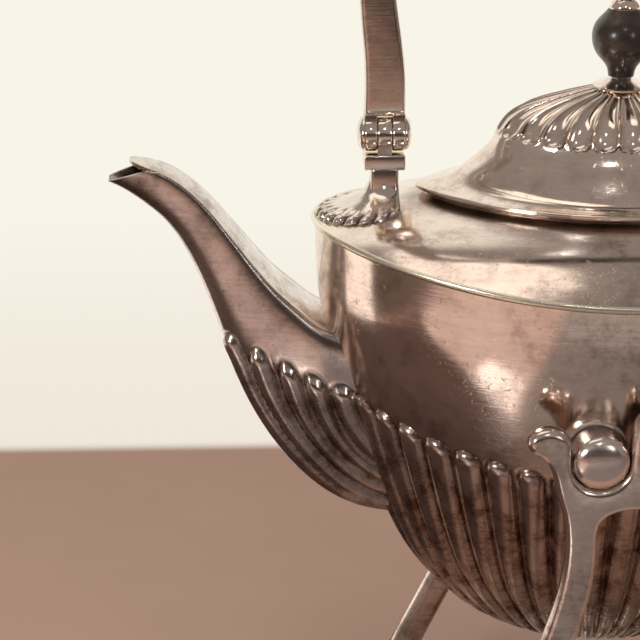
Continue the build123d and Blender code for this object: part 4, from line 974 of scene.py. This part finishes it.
def staged(name, points, faces, material):
    """A part of the studio, from its corners in metres. It isn't part of the kettle."""
    mesh = bpy.data.meshes.new(name)
    mesh.from_pydata(points, [], faces)
    mesh.materials.append(material)
    made = bpy.data.objects.new(name, mesh)
    bpy.context.scene.collection.objects.link(made)
    return made


run = np.linspace(0, pi / 2, 12)
cove = [1.8, 0.3] + 0.3 * np.stack([np.sin(run), -np.cos(run)], -1)
line = np.vstack([(-3.0, 0.0), (0.33, 0.0), (0.37, 0.0), cove, (2.1, 3.4)])
corners = np.insert(np.repeat(line, 2, axis=0), 0, np.tile([-3.0, 3.0], len(line)), axis=1)
first = np.arange(0, len(corners) - 2, 2)[:, None]
staged("table_and_wall", corners.tolist(), (first + [0, 1, 3, 2]).tolist(), room.material).data.shade_smooth()


def lamp(name, place, aim_z, size, power, colour, in_metal=True):
    """Soft lamp that faces a point above the table's middle. With in_metal, the metal shows it."""
    light = bpy.data.lights.new(name, "AREA")
    light.shape, light.size, light.size_y, light.energy, light.color = "RECTANGLE", *size, power, colour
    made = bpy.data.objects.new(name, light)
    made.location = place
    made.rotation_euler = (Vector((0, 0, aim_z)) - Vector(place)).to_track_quat("-Z", "Y").to_euler()
    made.visible_camera, made.visible_glossy = False, in_metal
    bpy.context.scene.collection.objects.link(made)


lamp("table_light", (-0.3, -0.2, 1.5), 0.1, (1.5, 1.1), 14, (1.0, 0.97, 0.93), in_metal=False)
lamp("overhead", (-0.35, -0.25, 1.3), 0.2, (0.5, 0.35), 2.2, (1.0, 0.97, 0.94), in_metal=False)
lamp("left_box", (-0.90, -0.90, 0.52), 0.2, (0.25, 0.25), 3.6, (1.0, 0.97, 0.94))
lamp("side_box", (0.45, -0.85, 0.52), 0.2, (0.12, 0.24), 0.5, (1.0, 0.97, 0.95))
lamp("front_box", (0.0, -0.84, 1.0), 0.25, (0.06, 0.10), 0.45, (1.0, 0.98, 0.96))
lamp("rear_box", (0.064, 0.28, 0.80), 0.25, (0.020, 0.011), 0.007, (1.0, 0.98, 0.96))
world = bpy.data.worlds.new("studio")
bpy.context.scene.world = world
world.use_nodes = True
air = world.node_tree
air.nodes["Background"].inputs["Color"].default_value = (0.27, 0.2325, 0.21, 1.0)
dim = Reading(air, air.nodes["Background"].outputs[0])
pale = add_node(air, "ShaderNodeBackground", Color=(*cream, 1.0))
direct = add_node(air, "ShaderNodeLightPath", out="Is Camera Ray")
either = add_node(air, "ShaderNodeMixShader", i0=direct, i1=dim, i2=pale)
air.links.new(either.socket, air.nodes["World Output"].inputs["Surface"])


def card(name, corners, tone, glowing=False):
    """Flat card that only the polished metal sees, as a studio's flags and reflectors do."""
    cloth = Finish(name, Roughness=0.9, Specular_IOR_Level=0.0, Emission_Strength=1.0 if glowing else 0.0)
    shade = cloth.blend(cloth.cloud(9, 3.0), tuple(0.85 * t for t in tone), tuple(1.15 * t for t in tone))
    cloth.feed("Emission Color" if glowing else "Base Color", shade)
    made = staged(name, corners, [tuple(range(len(corners)))], cloth.material)
    made.visible_camera = made.visible_diffuse = made.visible_shadow = False


for name, x0, x1, y0, y1, z, tone, glowing in (
    ("dark_card", -0.46, -0.08, -0.24, 0.20, 0.004, (0.10, 0.066, 0.057), False),
    ("pale_card", -0.49, -0.12, -0.62, -0.24, 0.004, (0.60, 0.455, 0.41), False),
    ("white_card", -0.225, -0.130, -0.315, -0.235, 0.006, (0.74, 0.57, 0.50), True),
    ("grey_card", -0.12, 0.70, -0.90, -0.50, 0.004, (0.40, 0.365, 0.36), False),
    ("shade_card", -0.12, 0.70, -0.50, -0.20, 0.004, (0.23, 0.20, 0.19), False),
    ("brown_card", -1.0, -0.49, -0.38, -0.02, 0.004, (0.12, 0.088, 0.076), False),
    ("left_card", -0.80, -0.46, -0.02, 0.22, 0.004, (0.50, 0.35, 0.275), True),
    ("back_card", -0.80, -0.10, 0.22, 0.36, 0.004, (0.85, 0.69, 0.56), True),
):
    card(name, [(x0, y0, z), (x1, y0, z), (x1, y1, z), (x0, y1, z)], tone, glowing)
cloth = [(-1.6, -1.5, 0.01), (-1.6, -1.5, 0.60), (1.6, -1.5, 0.60), (1.6, -1.5, 0.01)]
card("front_cloth", cloth, (0.11, 0.105, 0.11))
ceiling = [(-0.85, -0.25), (-0.10, -0.25), (0.10, -0.12), (0.10, 0.10), (0.05, 0.27), (-0.07, 0.40),
           (-0.30, 0.90), (-0.36, 0.75), (-0.38, 0.50), (-0.85, 0.30)]
card("ceiling_card", [(x, y, 1.5) for x, y in ceiling], (0.92, 0.86, 0.78), glowing=True)

camera = bpy.data.objects.new("camera", bpy.data.cameras.new("camera"))
camera.data.lens, camera.data.sensor_width = 105.0, 36.0
camera.data.clip_start = 0.02
camera.location = (-0.08545, -0.5937, 0.4248)
camera.rotation_euler = (radians(90 - 20.5), 0, radians(-2.0))
bpy.context.scene.collection.objects.link(camera)
bpy.context.scene.camera = camera
bpy.context.scene.view_settings.view_transform = "Standard"
